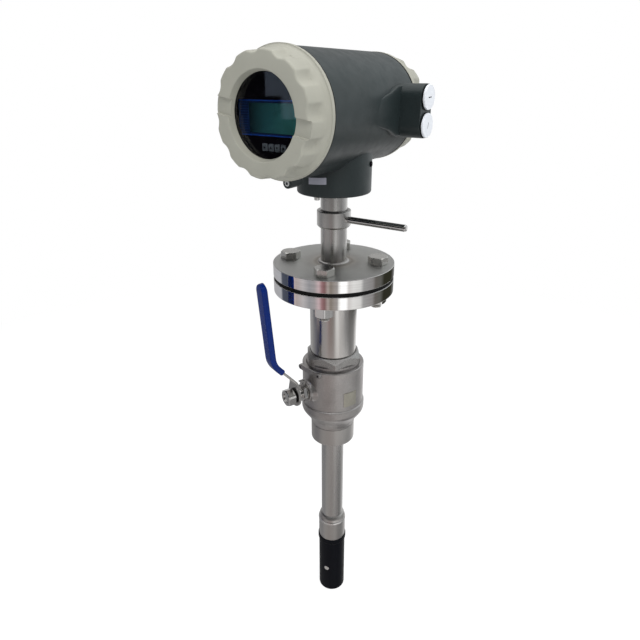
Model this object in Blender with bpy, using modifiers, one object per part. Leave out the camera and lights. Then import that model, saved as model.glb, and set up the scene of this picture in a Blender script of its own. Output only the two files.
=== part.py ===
"""Insertion electromagnetic flow meter on a flanged ball valve, in metres, +Z up.

The origin is the centre of the lower ring face of the weld base. The probe stands on the
Z axis, the display looks along -Y and the cable entries leave the housing along +X.
"""
import math

import bmesh
import bpy
from mathutils import Matrix, Vector

# Fits
GAP = 0.0003
RUNNING_GAP = 0.0005

# Facets round a circle
SEGMENTS_LARGE = 32
SEGMENTS_MEDIUM = 24
SEGMENTS_SMALL = 20
SEGMENTS_FINE = 12

# Transmitter housing
HOUSING_REAR = 0.0780
LCD_WIDTH = 0.0880
LCD_MARGIN = 0.0070
CAVITY_RADIUS = LCD_WIDTH / 2 + LCD_MARGIN
SPIGOT_WALL = 0.0050
SPIGOT_RADIUS = CAVITY_RADIUS + SPIGOT_WALL
SPIGOT_LENGTH = 0.0140
SHOULDER_WIDTH = 0.0056
HOUSING_RADIUS = SPIGOT_RADIUS + SHOULDER_WIDTH
HOUSING_TAPER = 0.0014
NECK_BOTTOM = 0.3460
BARREL_RISE = 0.0271
HEAD_HEIGHT = NECK_BOTTOM + BARREL_RISE + HOUSING_RADIUS
PARTITION_FRONT = -0.0130
PARTITION_THICKNESS = 0.0050
HOUSING_EDGE = 0.0008

# Neck, keel and cover lock lug
NECK_RADIUS = 0.0435
NECK_EDGE = 0.0020
NECK_SOCKET_DEPTH = 0.0240
WIRE_HOLE_RADIUS = 0.0080
KEEL_RISE = 0.0310
KEEL_BOTTOM = NECK_BOTTOM + KEEL_RISE
KEEL_SINK = 0.0004
LUG_RADIUS = 0.0055
LUG_RISE = 0.0219
LUG_HEIGHT = NECK_BOTTOM + LUG_RISE
LUG_REACH = 0.0880
LUG_START = 0.0680
LUG_SETBACK = 0.0032
HOUSING_FRONT = LUG_REACH + LUG_SETBACK
LOCK_SCREW_RADIUS = 0.0030
LOCK_SCREW_LENGTH = 0.0160
LOCK_SCREW_PROUD = 0.0005
SOCKET_ACROSS_FLATS = 0.0030
SOCKET_DEPTH = 0.0030

# Screws of the neck
CLAMP_SCREW_RISE = 0.0330
CLAMP_SCREW_HEIGHT = NECK_BOTTOM + CLAMP_SCREW_RISE
CLAMP_SCREW_AZIMUTH = 14.0
CLAMP_SCREW_RADIUS = 0.0030
CLAMP_SCREW_PROUD = 0.0015
EARTH_SCREW_AZIMUTH = -92.0
EARTH_SCREW_OFFSET = 0.0330
EARTH_HEAD_RADIUS = 0.0042
EARTH_HEAD_HEIGHT = 0.0045
EARTH_SHANK_RADIUS = 0.0022
EARTH_SHANK_LENGTH = 0.0100

# Sticker on the neck
TAG_FIRST_AZIMUTH = -96.0
TAG_LAST_AZIMUTH = -67.5
TAG_RISE = 0.0141
TAG_BOTTOM = NECK_BOTTOM + TAG_RISE
TAG_HEIGHT = 0.0085
TAG_THICKNESS = 0.0004

# Cable entries
ENTRY_Y = 0.0470
ENTRY_SPACING = 0.0286
ENTRY_DROP = 0.0010
ENTRY_BOSS_RADIUS = 0.0137
ENTRY_REACH = 0.0878
ENTRY_BORE_RADIUS = 0.0100
RAMP_BULGE = 0.0020
RAMP_STATIONS = ((-0.0140, 0.0110, -0.0010), (-0.0045, 0.0134, -0.0003),
                 (0.0170, 0.0190, 0.0008), (0.0310, 0.0255, 0.0021),
                 (0.0420, 0.0262, 0.0028))
PLUG_RADIUS = 0.0128
PLUG_HEAD = 0.0024
PLUG_SHANK_LENGTH = 0.0140
PLUG_SLOT_LENGTH = 0.0070
PLUG_SLOT_WIDTH = 0.0012
PLUG_SLOT_DEPTH = 0.0009
PLUG_SLOT_TURNS = (4.0, 68.0)
PLUG_EDGE = 0.0006
PLUG_SEAL_THICKNESS = 0.0009
PLUG_SEAL_RADIUS = 0.0133

# Screw-on covers
COVER_RIM_PROUD = 0.0015
COVER_RIM_RADIUS = HOUSING_RADIUS + COVER_RIM_PROUD
COVER_DEPTH = 0.0329
COVER_RIM_WIDTH = 0.0045
COVER_RIM_STEP = 0.0039
COVER_FILLET_LENGTH = 0.0090
COVER_FRONT_STEP = 0.0014
COVER_EDGE = 0.0022
REAR_RIM_INSET = 0.0025
REAR_LOBE_INSET = 0.0014
COVER_THREAD_DEPTH = 0.0145
LOBE_COUNT = 12
LOBE_PHASE = -10.0
SCALLOP_RADIUS = 0.0180
SCALLOP_DEPTH = 0.0028
SCALLOP_RUNOUT = 0.0150
SCALLOP_TILT = 8.0
WRENCH_SLOT_WIDTH = 0.0165
WRENCH_SLOT_DEPTH = 0.0035
SEAL_THICKNESS = 0.0010
SEAL_INSET = 0.0004
BLIND_WALL = 0.0050

# Window
GLASS_SETBACK = 0.0075
GLASS_INSET = 0.0048
GLASS_RADIUS = CAVITY_RADIUS - GLASS_INSET
GLASS_THICKNESS = 0.0052
WINDOW_LEDGE = 0.0053
WINDOW_RADIUS = GLASS_RADIUS - WINDOW_LEDGE
WAIST_LEDGE = 0.0072
WINDOW_WAIST_RADIUS = GLASS_RADIUS - WAIST_LEDGE
RETAINER_WIDTH = 0.0052
RETAINER_THICKNESS = 0.0036

# Display and electronics
FACE_PLATE_STAND = 0.0128
FACE_PLATE_FRONT = HOUSING_FRONT + FACE_PLATE_STAND
FACE_PLATE_THICKNESS = 0.0015
FACE_PLATE_EDGE_GAP = 0.0005
LCD_HEIGHT = 0.0330
LCD_DROP = 0.0026
LCD_THICKNESS = 0.0030
LCD_PROUD = 0.0004
SCREEN_WIDTH = 0.0610
SCREEN_HEIGHT = 0.0275
SCREEN_THICKNESS = 0.0012
KEY_COUNT = 4
KEY_WIDTH = 0.0060
KEY_HEIGHT = 0.0072
KEY_SPACING = 0.0079
KEY_DROP = 0.0298
KEY_DEPTH = 0.0030
KEY_PROUD = 0.0010
DISPLAY_BOARD_SETBACK = 0.0070
DISPLAY_BOARD_FRONT = FACE_PLATE_FRONT - DISPLAY_BOARD_SETBACK
DISPLAY_BOARD_MARGIN = 0.0140
DISPLAY_BOARD_WIDTH = LCD_WIDTH - DISPLAY_BOARD_MARGIN
DISPLAY_BOARD_HEIGHT = 0.0580
MAIN_BOARD_FRONT = 0.0500
MAIN_BOARD_MARGIN = 0.0120
MAIN_BOARD_WIDTH = LCD_WIDTH - MAIN_BOARD_MARGIN
MAIN_BOARD_HEIGHT = 0.0600
BOARD_THICKNESS = 0.0016
CARRIER_THICKNESS = 0.0030
POST_RADIUS = 0.0025
POST_INSET = 0.0090
POST_SPREAD = MAIN_BOARD_WIDTH / 2 - POST_INSET
POST_RISE = 0.0210
TERMINAL_WIDTH = 0.0700
TERMINAL_HEIGHT = 0.0180
TERMINAL_DEPTH = 0.0140
TERMINAL_WAYS = 7

# Probe
ROD_RADIUS = 0.0160
ROD_WALL = 0.0035
ROD_BOTTOM = -0.1440
SHOULDER_STATIONS = ((0.0015, 0.0015), (0.0030, 0.0045), (0.0040, 0.0090))
TAPER_END = -0.1580
SENSOR_RADIUS = 0.0202
SENSOR_STEEL_BOTTOM = -0.1880
SENSOR_SOCKET_RADIUS = 0.0170
SENSOR_SOCKET_DEPTH = 0.0170
SENSOR_WIRE_RADIUS = 0.0090
SENSOR_SPIGOT_LENGTH = 0.0150
LIP_RADIUS = 0.0214
LIP_HEIGHT = 0.0075
TIP_RADIUS = 0.0201
TIP_BOTTOM = -0.2964
TIP_EDGE = 0.0012
TIP_WALL = 0.0046
TIP_FLOOR = 0.0060
ELECTRODE_AZIMUTH = -81.0
ELECTRODE_HEIGHT = -0.2497
ELECTRODE_HEAD_RADIUS = 0.0040
ELECTRODE_HEAD_DEPTH = 0.0020
ELECTRODE_SHANK_RADIUS = 0.0022
ELECTRODE_PROUD = 0.0002
COIL_RADIUS = 0.0125
COIL_BOTTOM = -0.2780
COIL_TOP = -0.2150
CORE_RADIUS = 0.0063
CORE_TOP = -0.2080

# Positioning collar and its handle
COLLAR_RADIUS = 0.0204
COLLAR_BOTTOM = 0.3042
COLLAR_TOP = 0.3246
COLLAR_EDGE = 0.0012
COLLAR_CHAMFER = 0.0023
COLLAR_SINK = 0.0012
HANDLE_HEIGHT = 0.3147
HANDLE_AZIMUTH = 1.5
HANDLE_RADIUS = 0.0040
HANDLE_REACH = 0.0955
HANDLE_SEAT = 0.0178

# Flanges
FLANGE_RADIUS = 0.0750
FLANGE_EDGE = 0.0008
UPPER_FLANGE_BOTTOM = 0.2455
UPPER_FLANGE_TOP = 0.2610
LOWER_FLANGE_BOTTOM = 0.2249
LOWER_FLANGE_TOP = 0.2409
WELD_WIDTH = 0.0040
WELD_HEIGHT = 0.0025
GASKET_RADIUS = 0.0742
BOLT_CIRCLE_RADIUS = 0.0550
BOLT_COUNT = 4
BOLT_PHASE = 22.3
BOLT_RADIUS = 0.0070
BOLT_HOLE_RADIUS = 0.0078
BOLT_ACROSS_FLATS = 0.0220
BOLT_HEAD_HEIGHT = 0.0090
BOLT_END = 0.2045
NUT_HEIGHT = 0.0145

# Valve
SLEEVE_RADIUS = 0.03015
SLEEVE_WALL = 0.0040
SLEEVE_TOP = 0.2379
BALL_HEIGHT = 0.0865
BODY_RISE = 0.0346
BODY_TOP = BALL_HEIGHT + BODY_RISE
CAP_GAP = 0.0036
CAP_BOTTOM = BODY_TOP + CAP_GAP
CAP_HEIGHT = 0.0131
CAP_TOP = CAP_BOTTOM + CAP_HEIGHT
CAP_ACROSS_FLATS = 0.0673
CAP_CHAMFER_RADIUS = 0.0320
CAP_CHAMFER_DEPTH = 0.0066
CAP_CORNER_AZIMUTH = -51.6
CAP_SPIGOT_RADIUS = 0.0357
CAP_SOCKET_FLOOR = 0.0033
SLEEVE_BOTTOM = CAP_BOTTOM + CAP_SOCKET_FLOOR
BODY_RADIUS = 0.0413
BAND_RADIUS = 0.0429
BAND_TOP = 0.0620
BAND_EDGE = 0.0010
BAND_BOTTOM = 0.0525
BODY_TAPER = ((0.0010, 0.0035), (0.0033, 0.0070), (0.0104, 0.0171))
BODY_FOOT_RADIUS = 0.0303
BODY_FOOT_TOP = 0.0285
BASE_HEIGHT = 0.0260
VALVE_CAVITY_RADIUS = 0.0360
VALVE_BORE_RADIUS = 0.0230
BALL_RADIUS = 0.0345
BALL_BORE_RADIUS = 0.0225
SEAT_REACH = 0.0280
SEAT_OUTER_RADIUS = 0.0305

# Valve stem, measured outward from the probe axis
STEM_AZIMUTH = -111.0
STEM_RADIUS = 0.0060
STEM_COLLAR_RADIUS = 0.0087
STEM_COLLAR_END = 0.0383
STEM_FLATS_START = 0.0597
STEM_FLATS_WIDTH = 0.0080
STEM_END = 0.0742
TANG_WIDTH = 0.0056
TANG_LENGTH = 0.0150
TANG_DEPTH = 0.0036
BOSS_REACH = 0.0460
BOSS_RADIUS = 0.0145
BOSS_ROOT_RADIUS = 0.0185
BOSS_ROOT = 0.0370
PACKING_START = 0.0413
PACKING_RADIUS = 0.0100
PACKING_LENGTH = 0.0050
LOCK_TAB_THICKNESS = 0.0012
LOCK_TAB_RADIUS = 0.0115
LOCK_TAB_RISE = 0.0185
LOCK_TAB_WIDTH = 0.0060
LOCK_TAB_FOLD = 0.0060
PACKING_NUT_ACROSS_FLATS = 0.0210
PACKING_NUT_HEIGHT = 0.0050
LEVER_NUT_ACROSS_FLATS = 0.0210
LEVER_NUT_HEIGHT = 0.0098
SPRING_WASHER_RADIUS = 0.0100
SPRING_WASHER_THICKNESS = 0.0020

# Lock pad cast on the valve body
PAD_REACH = 0.0417
PAD_TURN = 7.4
PAD_RISE = 0.0306
PAD_HEIGHT = 0.0073
PAD_FIRST = -0.0180
PAD_LAST = 0.0245
PAD_THICKNESS = 0.0050
PAD_HOLE_RADIUS = 0.0014
PAD_HOLE_DEPTH = 0.0030
PAD_HOLE_INSET = 0.0040

# Lever, as a strip folded in the plane of the stem and the probe axis
LEVER_THICKNESS = 0.0030
LEVER_HUB_RADIUS = 0.0145
LEVER_NECK_HALF_WIDTH = 0.0092
LEVER_GRIP_HALF_WIDTH = 0.0058
LEVER_FIRST_BEND = 0.0210
LEVER_FIRST_BEND_RADIUS = 0.0100
LEVER_SLANT = 42.4
LEVER_SECOND_BEND = 0.0562
LEVER_SECOND_BEND_RADIUS = 0.0300
LEVER_LEAN = 4.6
LEVER_TOP = 0.1618
GRIP_START = 0.0425
GRIP_OVERLAP = 0.0020
GRIP_WALL = 0.0021
GRIP_TIP_WALL = 0.0030


def clear_scene():
    for obj in list(bpy.data.objects):
        bpy.data.objects.remove(obj, do_unlink=True)


def new_collection(name):
    old = bpy.data.collections.get(name)
    if old:
        bpy.data.collections.remove(old)
    collection = bpy.data.collections.new(name)
    bpy.context.scene.collection.children.link(collection)
    return collection


def material(obj, colour, metallic=0.0, roughness=0.5):
    """Give an object its own Principled material."""
    mat = bpy.data.materials.new(obj.name)
    mat.use_nodes = True
    shader = mat.node_tree.nodes["Principled BSDF"]
    shader.inputs["Base Color"].default_value = (*colour, 1.0)
    shader.inputs["Metallic"].default_value = metallic
    shader.inputs["Roughness"].default_value = roughness
    obj.data.materials.clear()
    obj.data.materials.append(mat)
    return obj


def as_cutter(obj):
    """Move an object among the cutters, which are guides and not pieces."""
    for collection in list(obj.users_collection):
        collection.objects.unlink(obj)
    CUTTERS.objects.link(obj)
    obj.hide_render = True
    obj.display_type = "WIRE"
    return obj


def place(obj, parent=None, location=(0, 0, 0), rotation=(0, 0, 0)):
    obj.location = location
    obj.rotation_euler = [math.radians(a) for a in rotation]
    obj.parent = parent
    PARTS.objects.link(obj)
    return obj


def axis_empty(name, location, rotation):
    return place(bpy.data.objects.new(name, None), None, location, rotation)


def turned(name, profile, parent=None, segments=SEGMENTS_MEDIUM, ring=True,
           location=(0, 0, 0), rotation=(0, 0, 0)):
    """Turn a profile of (radius, height) points about the local Z axis.

    The profile runs down its outer side. A ring profile closes on itself, and any other
    profile starts and ends on the axis.
    """
    mesh = bpy.data.meshes.new(name)
    count = len(profile)
    edges = [(i, i + 1) for i in range(count - 1)]
    if ring:
        edges.append((count - 1, 0))
    mesh.from_pydata([(r, 0.0, z) for r, z in profile], edges, [])
    obj = place(bpy.data.objects.new(name, mesh), parent, location, rotation)
    screw = obj.modifiers.new("Turn", "SCREW")
    screw.angle = 2 * math.pi
    screw.steps = segments
    screw.render_steps = segments
    screw.use_merge_vertices = True
    screw.merge_threshold = 0.00001
    screw.use_smooth_shade = False
    return obj


def disc_profile(radius, bottom, top, edge=0.0):
    """Profile of a solid disc or rod, with an optional chamfer at both ends."""
    if edge:
        return [(0, top), (radius - edge, top), (radius, top - edge),
                (radius, bottom + edge), (radius - edge, bottom), (0, bottom)]
    return [(0, top), (radius, top), (radius, bottom), (0, bottom)]


def ring_profile(outer, inner, bottom, top, edge=0.0):
    """Profile of a ring or tube, with an optional chamfer on its outer edges."""
    if edge:
        return [(inner, top), (outer - edge, top), (outer, top - edge),
                (outer, bottom + edge), (outer - edge, bottom), (inner, bottom)]
    return [(inner, top), (outer, top), (outer, bottom), (inner, bottom)]


def rod(name, radius, bottom, top, parent=None, segments=SEGMENTS_FINE,
        location=(0, 0, 0), rotation=(0, 0, 0)):
    """A cylinder between two heights on the local Z axis."""
    bm = bmesh.new()
    bmesh.ops.create_cone(bm, cap_ends=True, segments=segments, radius1=radius,
                          radius2=radius, depth=top - bottom,
                          matrix=Matrix.Translation((0, 0, (top + bottom) / 2)))
    mesh = bpy.data.meshes.new(name)
    bm.to_mesh(mesh)
    bm.free()
    return place(bpy.data.objects.new(name, mesh), parent, location, rotation)


def box(name, low, high, parent=None, location=(0, 0, 0), rotation=(0, 0, 0)):
    """A box between two corners."""
    low, high = Vector(low), Vector(high)
    bm = bmesh.new()
    bmesh.ops.create_cube(bm, size=1.0)
    bmesh.ops.scale(bm, vec=high - low, verts=bm.verts)
    bmesh.ops.translate(bm, vec=(low + high) / 2, verts=bm.verts)
    mesh = bpy.data.meshes.new(name)
    bm.to_mesh(mesh)
    bm.free()
    return place(bpy.data.objects.new(name, mesh), parent, location, rotation)


def hexagon(name, across_flats, bottom, top, parent=None, turn=0.0,
            location=(0, 0, 0), rotation=(0, 0, 0)):
    """A hexagonal prism on the local Z axis, with a corner at the given turn."""
    corner = across_flats / 2 / math.cos(math.radians(30))
    bm = bmesh.new()
    bmesh.ops.create_cone(bm, cap_ends=True, segments=6, radius1=corner, radius2=corner,
                          depth=top - bottom,
                          matrix=Matrix.Translation((0, 0, (top + bottom) / 2)))
    bmesh.ops.rotate(bm, cent=(0, 0, 0), verts=bm.verts,
                     matrix=Matrix.Rotation(math.radians(turn) - math.pi / 2, 3, "Z"))
    mesh = bpy.data.meshes.new(name)
    bm.to_mesh(mesh)
    bm.free()
    return place(bpy.data.objects.new(name, mesh), parent, location, rotation)


def flat_outline(name, points, bottom, top, parent=None, location=(0, 0, 0),
                 rotation=(0, 0, 0)):
    """A plate with the given outline in local X and Y, made a mesh so that it can be cut."""
    curve = bpy.data.curves.new(name, "CURVE")
    curve.dimensions = "2D"
    curve.fill_mode = "BOTH"
    curve.extrude = (top - bottom) / 2
    spline = curve.splines.new("POLY")
    spline.points.add(len(points) - 1)
    for point, (x, y) in zip(spline.points, points):
        point.co = (x, y, 0, 1)
    spline.use_cyclic_u = True
    source = bpy.data.objects.new(name + "_outline", curve)
    place(source)
    bpy.context.view_layer.update()
    depsgraph = bpy.context.evaluated_depsgraph_get()
    mesh = bpy.data.meshes.new_from_object(source.evaluated_get(depsgraph))
    bpy.data.objects.remove(source, do_unlink=True)
    bm = bmesh.new()
    bm.from_mesh(mesh)
    bmesh.ops.remove_doubles(bm, verts=bm.verts, dist=0.00001)
    bmesh.ops.translate(bm, vec=(0, 0, (top + bottom) / 2), verts=bm.verts)
    bmesh.ops.recalc_face_normals(bm, faces=bm.faces)
    bm.to_mesh(mesh)
    bm.free()
    mesh.name = name
    return place(bpy.data.objects.new(name, mesh), parent, location, rotation)


def loft(name, sections, parent=None):
    """A closed solid through sections, each a list of as many points in local space."""
    bm = bmesh.new()
    rings = [[bm.verts.new(p) for p in section] for section in sections]
    count = len(rings[0])
    for first, second in zip(rings, rings[1:]):
        for i in range(count):
            j = (i + 1) % count
            bm.faces.new((first[i], first[j], second[j], second[i]))
    bm.faces.new(list(reversed(rings[0])))
    bm.faces.new(rings[-1])
    bmesh.ops.recalc_face_normals(bm, faces=bm.faces)
    mesh = bpy.data.meshes.new(name)
    bm.to_mesh(mesh)
    bm.free()
    return place(bpy.data.objects.new(name, mesh), parent)


def boolean(obj, other, operation="DIFFERENCE"):
    """Cut, join or trim an object with another, which becomes a cutter."""
    modifier = obj.modifiers.new(other.name, "BOOLEAN")
    modifier.operation = operation
    modifier.solver = "EXACT"
    modifier.object = as_cutter(other)
    return obj


def on_circle(radius, degrees):
    angle = math.radians(degrees)
    return Vector((radius * math.cos(angle), radius * math.sin(angle), 0))


def arc(centre, radius, first, last, steps):
    """Points on an arc in a plane, from one angle in degrees to another."""
    points = []
    for i in range(steps + 1):
        angle = math.radians(first + (last - first) * i / steps)
        points.append((centre[0] + radius * math.cos(angle),
                       centre[1] + radius * math.sin(angle)))
    return points


def build_housing(head):
    """Cast housing: barrel, neck, keel, lock lug and cable entry boss in one piece."""
    front, rear = HOUSING_FRONT, -HOUSING_REAR
    housing = turned("housing", [
        (0, front + SPIGOT_LENGTH), (SPIGOT_RADIUS, front + SPIGOT_LENGTH),
        (SPIGOT_RADIUS, front), (HOUSING_RADIUS, front),
        (HOUSING_RADIUS - HOUSING_TAPER, rear), (SPIGOT_RADIUS, rear),
        (SPIGOT_RADIUS, rear - SPIGOT_LENGTH), (0, rear - SPIGOT_LENGTH),
    ], head, SEGMENTS_LARGE, ring=False)
    add_neck(housing)
    add_keel(housing)
    add_entry_boss(housing)
    cut_cavities(housing, head)
    cut_neck(housing)
    return material(housing, (0.045, 0.062, 0.064), 0.0, 0.42)


def add_neck(housing):
    neck = turned("neck_form", [
        (0, HEAD_HEIGHT - CAVITY_RADIUS / 2), (NECK_RADIUS, HEAD_HEIGHT - CAVITY_RADIUS / 2),
        (NECK_RADIUS, NECK_BOTTOM + NECK_EDGE), (NECK_RADIUS - NECK_EDGE, NECK_BOTTOM),
        (0, NECK_BOTTOM),
    ], None, SEGMENTS_MEDIUM, ring=False)
    boolean(housing, neck, "UNION")


def barrel_radius(reach):
    """Outer radius of the tapered barrel at a reach along the head's axis."""
    share = (HOUSING_FRONT - reach) / (HOUSING_FRONT + HOUSING_REAR)
    return HOUSING_RADIUS - HOUSING_TAPER * share


def keel_section(reach):
    """Section of the keel, whose 45 degree flanks are tangent to the barrel."""
    tangent = (barrel_radius(reach) - KEEL_SINK) * math.sin(math.radians(45))
    top = HEAD_HEIGHT - tangent
    narrow = tangent - (top - KEEL_BOTTOM)
    return [(-tangent, -reach, top), (-narrow, -reach, KEEL_BOTTOM),
            (narrow, -reach, KEEL_BOTTOM), (tangent, -reach, top)]


def add_keel(housing):
    """Keel under the front of the barrel and the lug that it carries."""
    keel = loft("keel_form", [keel_section(0.0),
                              keel_section(HOUSING_FRONT - HOUSING_EDGE)])
    boolean(housing, keel, "UNION")
    root = HEAD_HEIGHT - CAVITY_RADIUS - LUG_RADIUS
    outline = (arc((0, LUG_HEIGHT), LUG_RADIUS, 180, 360, 8)
               + [(LUG_RADIUS, root), (-LUG_RADIUS, root)])
    lug = flat_outline("lug_form", outline, LUG_START, LUG_REACH, rotation=(90, 0, 0))
    boolean(housing, lug, "UNION")
    screw_hole = rod("lock_screw_hole", LOCK_SCREW_RADIUS + GAP,
                     LUG_REACH - LOCK_SCREW_LENGTH, LUG_REACH + LUG_RADIUS, None,
                     SEGMENTS_FINE, (0, 0, LUG_HEIGHT), (90, 0, 0))
    boolean(housing, screw_hole)


def ramp_section(y, half_height, rise):
    """Section of the ramp across the barrel: deep sides and a slightly bulged face."""
    centre = HEAD_HEIGHT - ENTRY_DROP
    crown = HOUSING_RADIUS + rise
    points = [(CAVITY_RADIUS * 0.8, y, centre - half_height)]
    for i in range(7):
        share = i / 3 - 1
        points.append((crown - RAMP_BULGE * share ** 2, y, centre + share * half_height))
    points.append((CAVITY_RADIUS * 0.8, y, centre + half_height))
    return points


def add_entry_boss(housing):
    """Oblong boss for two cable entries, with a ramp in front that dies into the barrel."""
    half = ENTRY_SPACING / 2
    outline = (arc((ENTRY_Y, half), ENTRY_BOSS_RADIUS, 0, 180, 10)
               + arc((ENTRY_Y, -half), ENTRY_BOSS_RADIUS, 180, 360, 10))
    boss = loft("entry_form", [
        [(x, y, HEAD_HEIGHT - ENTRY_DROP + z) for y, z in outline]
        for x in (CAVITY_RADIUS * 0.7, ENTRY_REACH)
    ])
    boolean(housing, boss, "UNION")
    ramp = loft("ramp_form", [ramp_section(*station) for station in RAMP_STATIONS])
    boolean(housing, ramp, "UNION")


def cut_cavities(housing, head):
    front_cavity = rod("front_cavity", CAVITY_RADIUS, PARTITION_FRONT,
                       HOUSING_FRONT + SPIGOT_LENGTH * 2, head, SEGMENTS_MEDIUM)
    boolean(housing, front_cavity)
    rear_cavity = rod("rear_cavity", CAVITY_RADIUS, -HOUSING_REAR - SPIGOT_LENGTH * 2,
                      PARTITION_FRONT - PARTITION_THICKNESS, head, SEGMENTS_MEDIUM)
    boolean(housing, rear_cavity)
    for sign, label in ((1, "upper"), (-1, "lower")):
        height = HEAD_HEIGHT - ENTRY_DROP + sign * ENTRY_SPACING / 2
        bore = rod("entry_bore_" + label, ENTRY_BORE_RADIUS, CAVITY_RADIUS * 0.75,
                   ENTRY_REACH * 1.1, None, SEGMENTS_SMALL, (0, ENTRY_Y, height),
                   (0, 90, 0))
        boolean(housing, bore)


def cut_neck(housing):
    """Socket for the probe tube, wire hole above it and the holes of two small screws."""
    socket = rod("probe_socket", ROD_RADIUS + GAP, NECK_BOTTOM - NECK_EDGE,
                 NECK_BOTTOM + NECK_SOCKET_DEPTH, None, SEGMENTS_SMALL)
    boolean(housing, socket)
    wire_hole = rod("wire_hole", WIRE_HOLE_RADIUS, NECK_BOTTOM,
                    HEAD_HEIGHT - CAVITY_RADIUS / 2, None, SEGMENTS_FINE)
    boolean(housing, wire_hole)
    clamp_hole = rod("clamp_screw_hole", CLAMP_SCREW_RADIUS + GAP, clamp_screw_start() - GAP,
                     NECK_RADIUS * 1.2, None, SEGMENTS_FINE, (0, 0, CLAMP_SCREW_HEIGHT),
                     (0, 90, CLAMP_SCREW_AZIMUTH))
    boolean(housing, clamp_hole)
    earth_hole = rod("earth_screw_hole", EARTH_SHANK_RADIUS + GAP, NECK_BOTTOM - NECK_EDGE,
                     NECK_BOTTOM + EARTH_SHANK_LENGTH + GAP, None, SEGMENTS_FINE,
                     on_circle(EARTH_SCREW_OFFSET, EARTH_SCREW_AZIMUTH))
    boolean(housing, earth_hole)


def clamp_screw_start():
    return NECK_RADIUS - 0.012


def build_small_screws():
    """Cover lock screw, neck clamp screw and the earth screw under the neck."""
    lock = rod("cover_lock_screw", LOCK_SCREW_RADIUS, LUG_REACH - LOCK_SCREW_LENGTH + GAP,
               LUG_REACH + LOCK_SCREW_PROUD, None, SEGMENTS_FINE, (0, 0, LUG_HEIGHT),
               (90, 0, 0))
    socket = hexagon("lock_screw_socket", SOCKET_ACROSS_FLATS,
                     LUG_REACH + LOCK_SCREW_PROUD - SOCKET_DEPTH, LUG_REACH + LUG_RADIUS,
                     None, 0.0, (0, 0, LUG_HEIGHT), (90, 0, 0))
    boolean(lock, socket)
    material(lock, (0.55, 0.55, 0.54), 1.0, 0.35)
    clamp = rod("neck_clamp_screw", CLAMP_SCREW_RADIUS, clamp_screw_start(),
                NECK_RADIUS + CLAMP_SCREW_PROUD, None, SEGMENTS_FINE,
                (0, 0, CLAMP_SCREW_HEIGHT), (0, 90, CLAMP_SCREW_AZIMUTH))
    material(clamp, (0.05, 0.05, 0.05), 0.8, 0.45)
    head_top = NECK_BOTTOM - GAP
    earth = turned("earth_screw", [
        (0, NECK_BOTTOM + EARTH_SHANK_LENGTH),
        (EARTH_SHANK_RADIUS, NECK_BOTTOM + EARTH_SHANK_LENGTH),
        (EARTH_SHANK_RADIUS, head_top), (EARTH_HEAD_RADIUS, head_top),
        (EARTH_HEAD_RADIUS, head_top - EARTH_HEAD_HEIGHT * 0.6),
        (EARTH_HEAD_RADIUS * 0.6, head_top - EARTH_HEAD_HEIGHT),
        (0, head_top - EARTH_HEAD_HEIGHT),
    ], None, SEGMENTS_FINE, False, on_circle(EARTH_SCREW_OFFSET, EARTH_SCREW_AZIMUTH))
    material(earth, (0.62, 0.61, 0.58), 1.0, 0.3)


def build_tag():
    """Sticker bent round the neck, bare."""
    inner = NECK_RADIUS + GAP
    outer = inner + TAG_THICKNESS
    outline = (arc((0, 0), outer, TAG_FIRST_AZIMUTH, TAG_LAST_AZIMUTH, 6)
               + arc((0, 0), inner, TAG_LAST_AZIMUTH, TAG_FIRST_AZIMUTH, 6))
    tag = flat_outline("tag_label", outline, TAG_BOTTOM, TAG_BOTTOM + TAG_HEIGHT)
    material(tag, (0.78, 0.78, 0.79), 0.0, 0.5)


def build_cable_plugs():
    """Blanking plugs of the two cable entries, each on its seal."""
    seal_start = ENTRY_REACH + GAP
    head_start = seal_start + PLUG_SEAL_THICKNESS + GAP
    head_end = head_start + PLUG_HEAD
    shank = ENTRY_BORE_RADIUS - GAP
    for sign, label, turn in zip((1, -1), ("upper", "lower"), PLUG_SLOT_TURNS):
        centre = (0, ENTRY_Y, HEAD_HEIGHT - ENTRY_DROP + sign * ENTRY_SPACING / 2)
        plug = turned("cable_plug_" + label, [
            (0, head_end), (PLUG_RADIUS - PLUG_EDGE, head_end),
            (PLUG_RADIUS, head_end - PLUG_EDGE), (PLUG_RADIUS, head_start),
            (shank, head_start), (shank, head_start - PLUG_SHANK_LENGTH),
            (0, head_start - PLUG_SHANK_LENGTH),
        ], None, SEGMENTS_SMALL, False, centre, (0, 90, 0))
        slot = flat_outline("plug_slot_" + label, slot_outline(turn),
                            head_end - PLUG_SLOT_DEPTH, head_end + PLUG_SLOT_DEPTH, None,
                            centre, (0, 90, 0))
        boolean(plug, slot)
        material(plug, (0.83, 0.84, 0.86), 0.0, 0.35)
        seal = turned("plug_seal_" + label, ring_profile(
            PLUG_SEAL_RADIUS, ENTRY_BORE_RADIUS, seal_start,
            seal_start + PLUG_SEAL_THICKNESS), None, SEGMENTS_SMALL, True, centre, (0, 90, 0))
        material(seal, (0.01, 0.01, 0.01), 0.0, 0.6)


def slot_outline(turn):
    """Outline of a plug's slot, turned about the plug's axis."""
    spin = Matrix.Rotation(math.radians(turn), 2)
    corners = ((-1, -1), (1, -1), (1, 1), (-1, 1))
    return [tuple(spin @ Vector((PLUG_SLOT_WIDTH / 2 * a, PLUG_SLOT_LENGTH / 2 * b)))
            for a, b in corners]


def cover_radii(rear):
    """Radii of a cover at its rim, its lobes and its front edge."""
    rim = COVER_RIM_RADIUS - (REAR_RIM_INSET if rear else 0.0)
    lobe = COVER_RIM_RADIUS - COVER_RIM_STEP - (REAR_LOBE_INSET if rear else 0.0)
    return rim, lobe, lobe - COVER_FRONT_STEP


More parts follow.
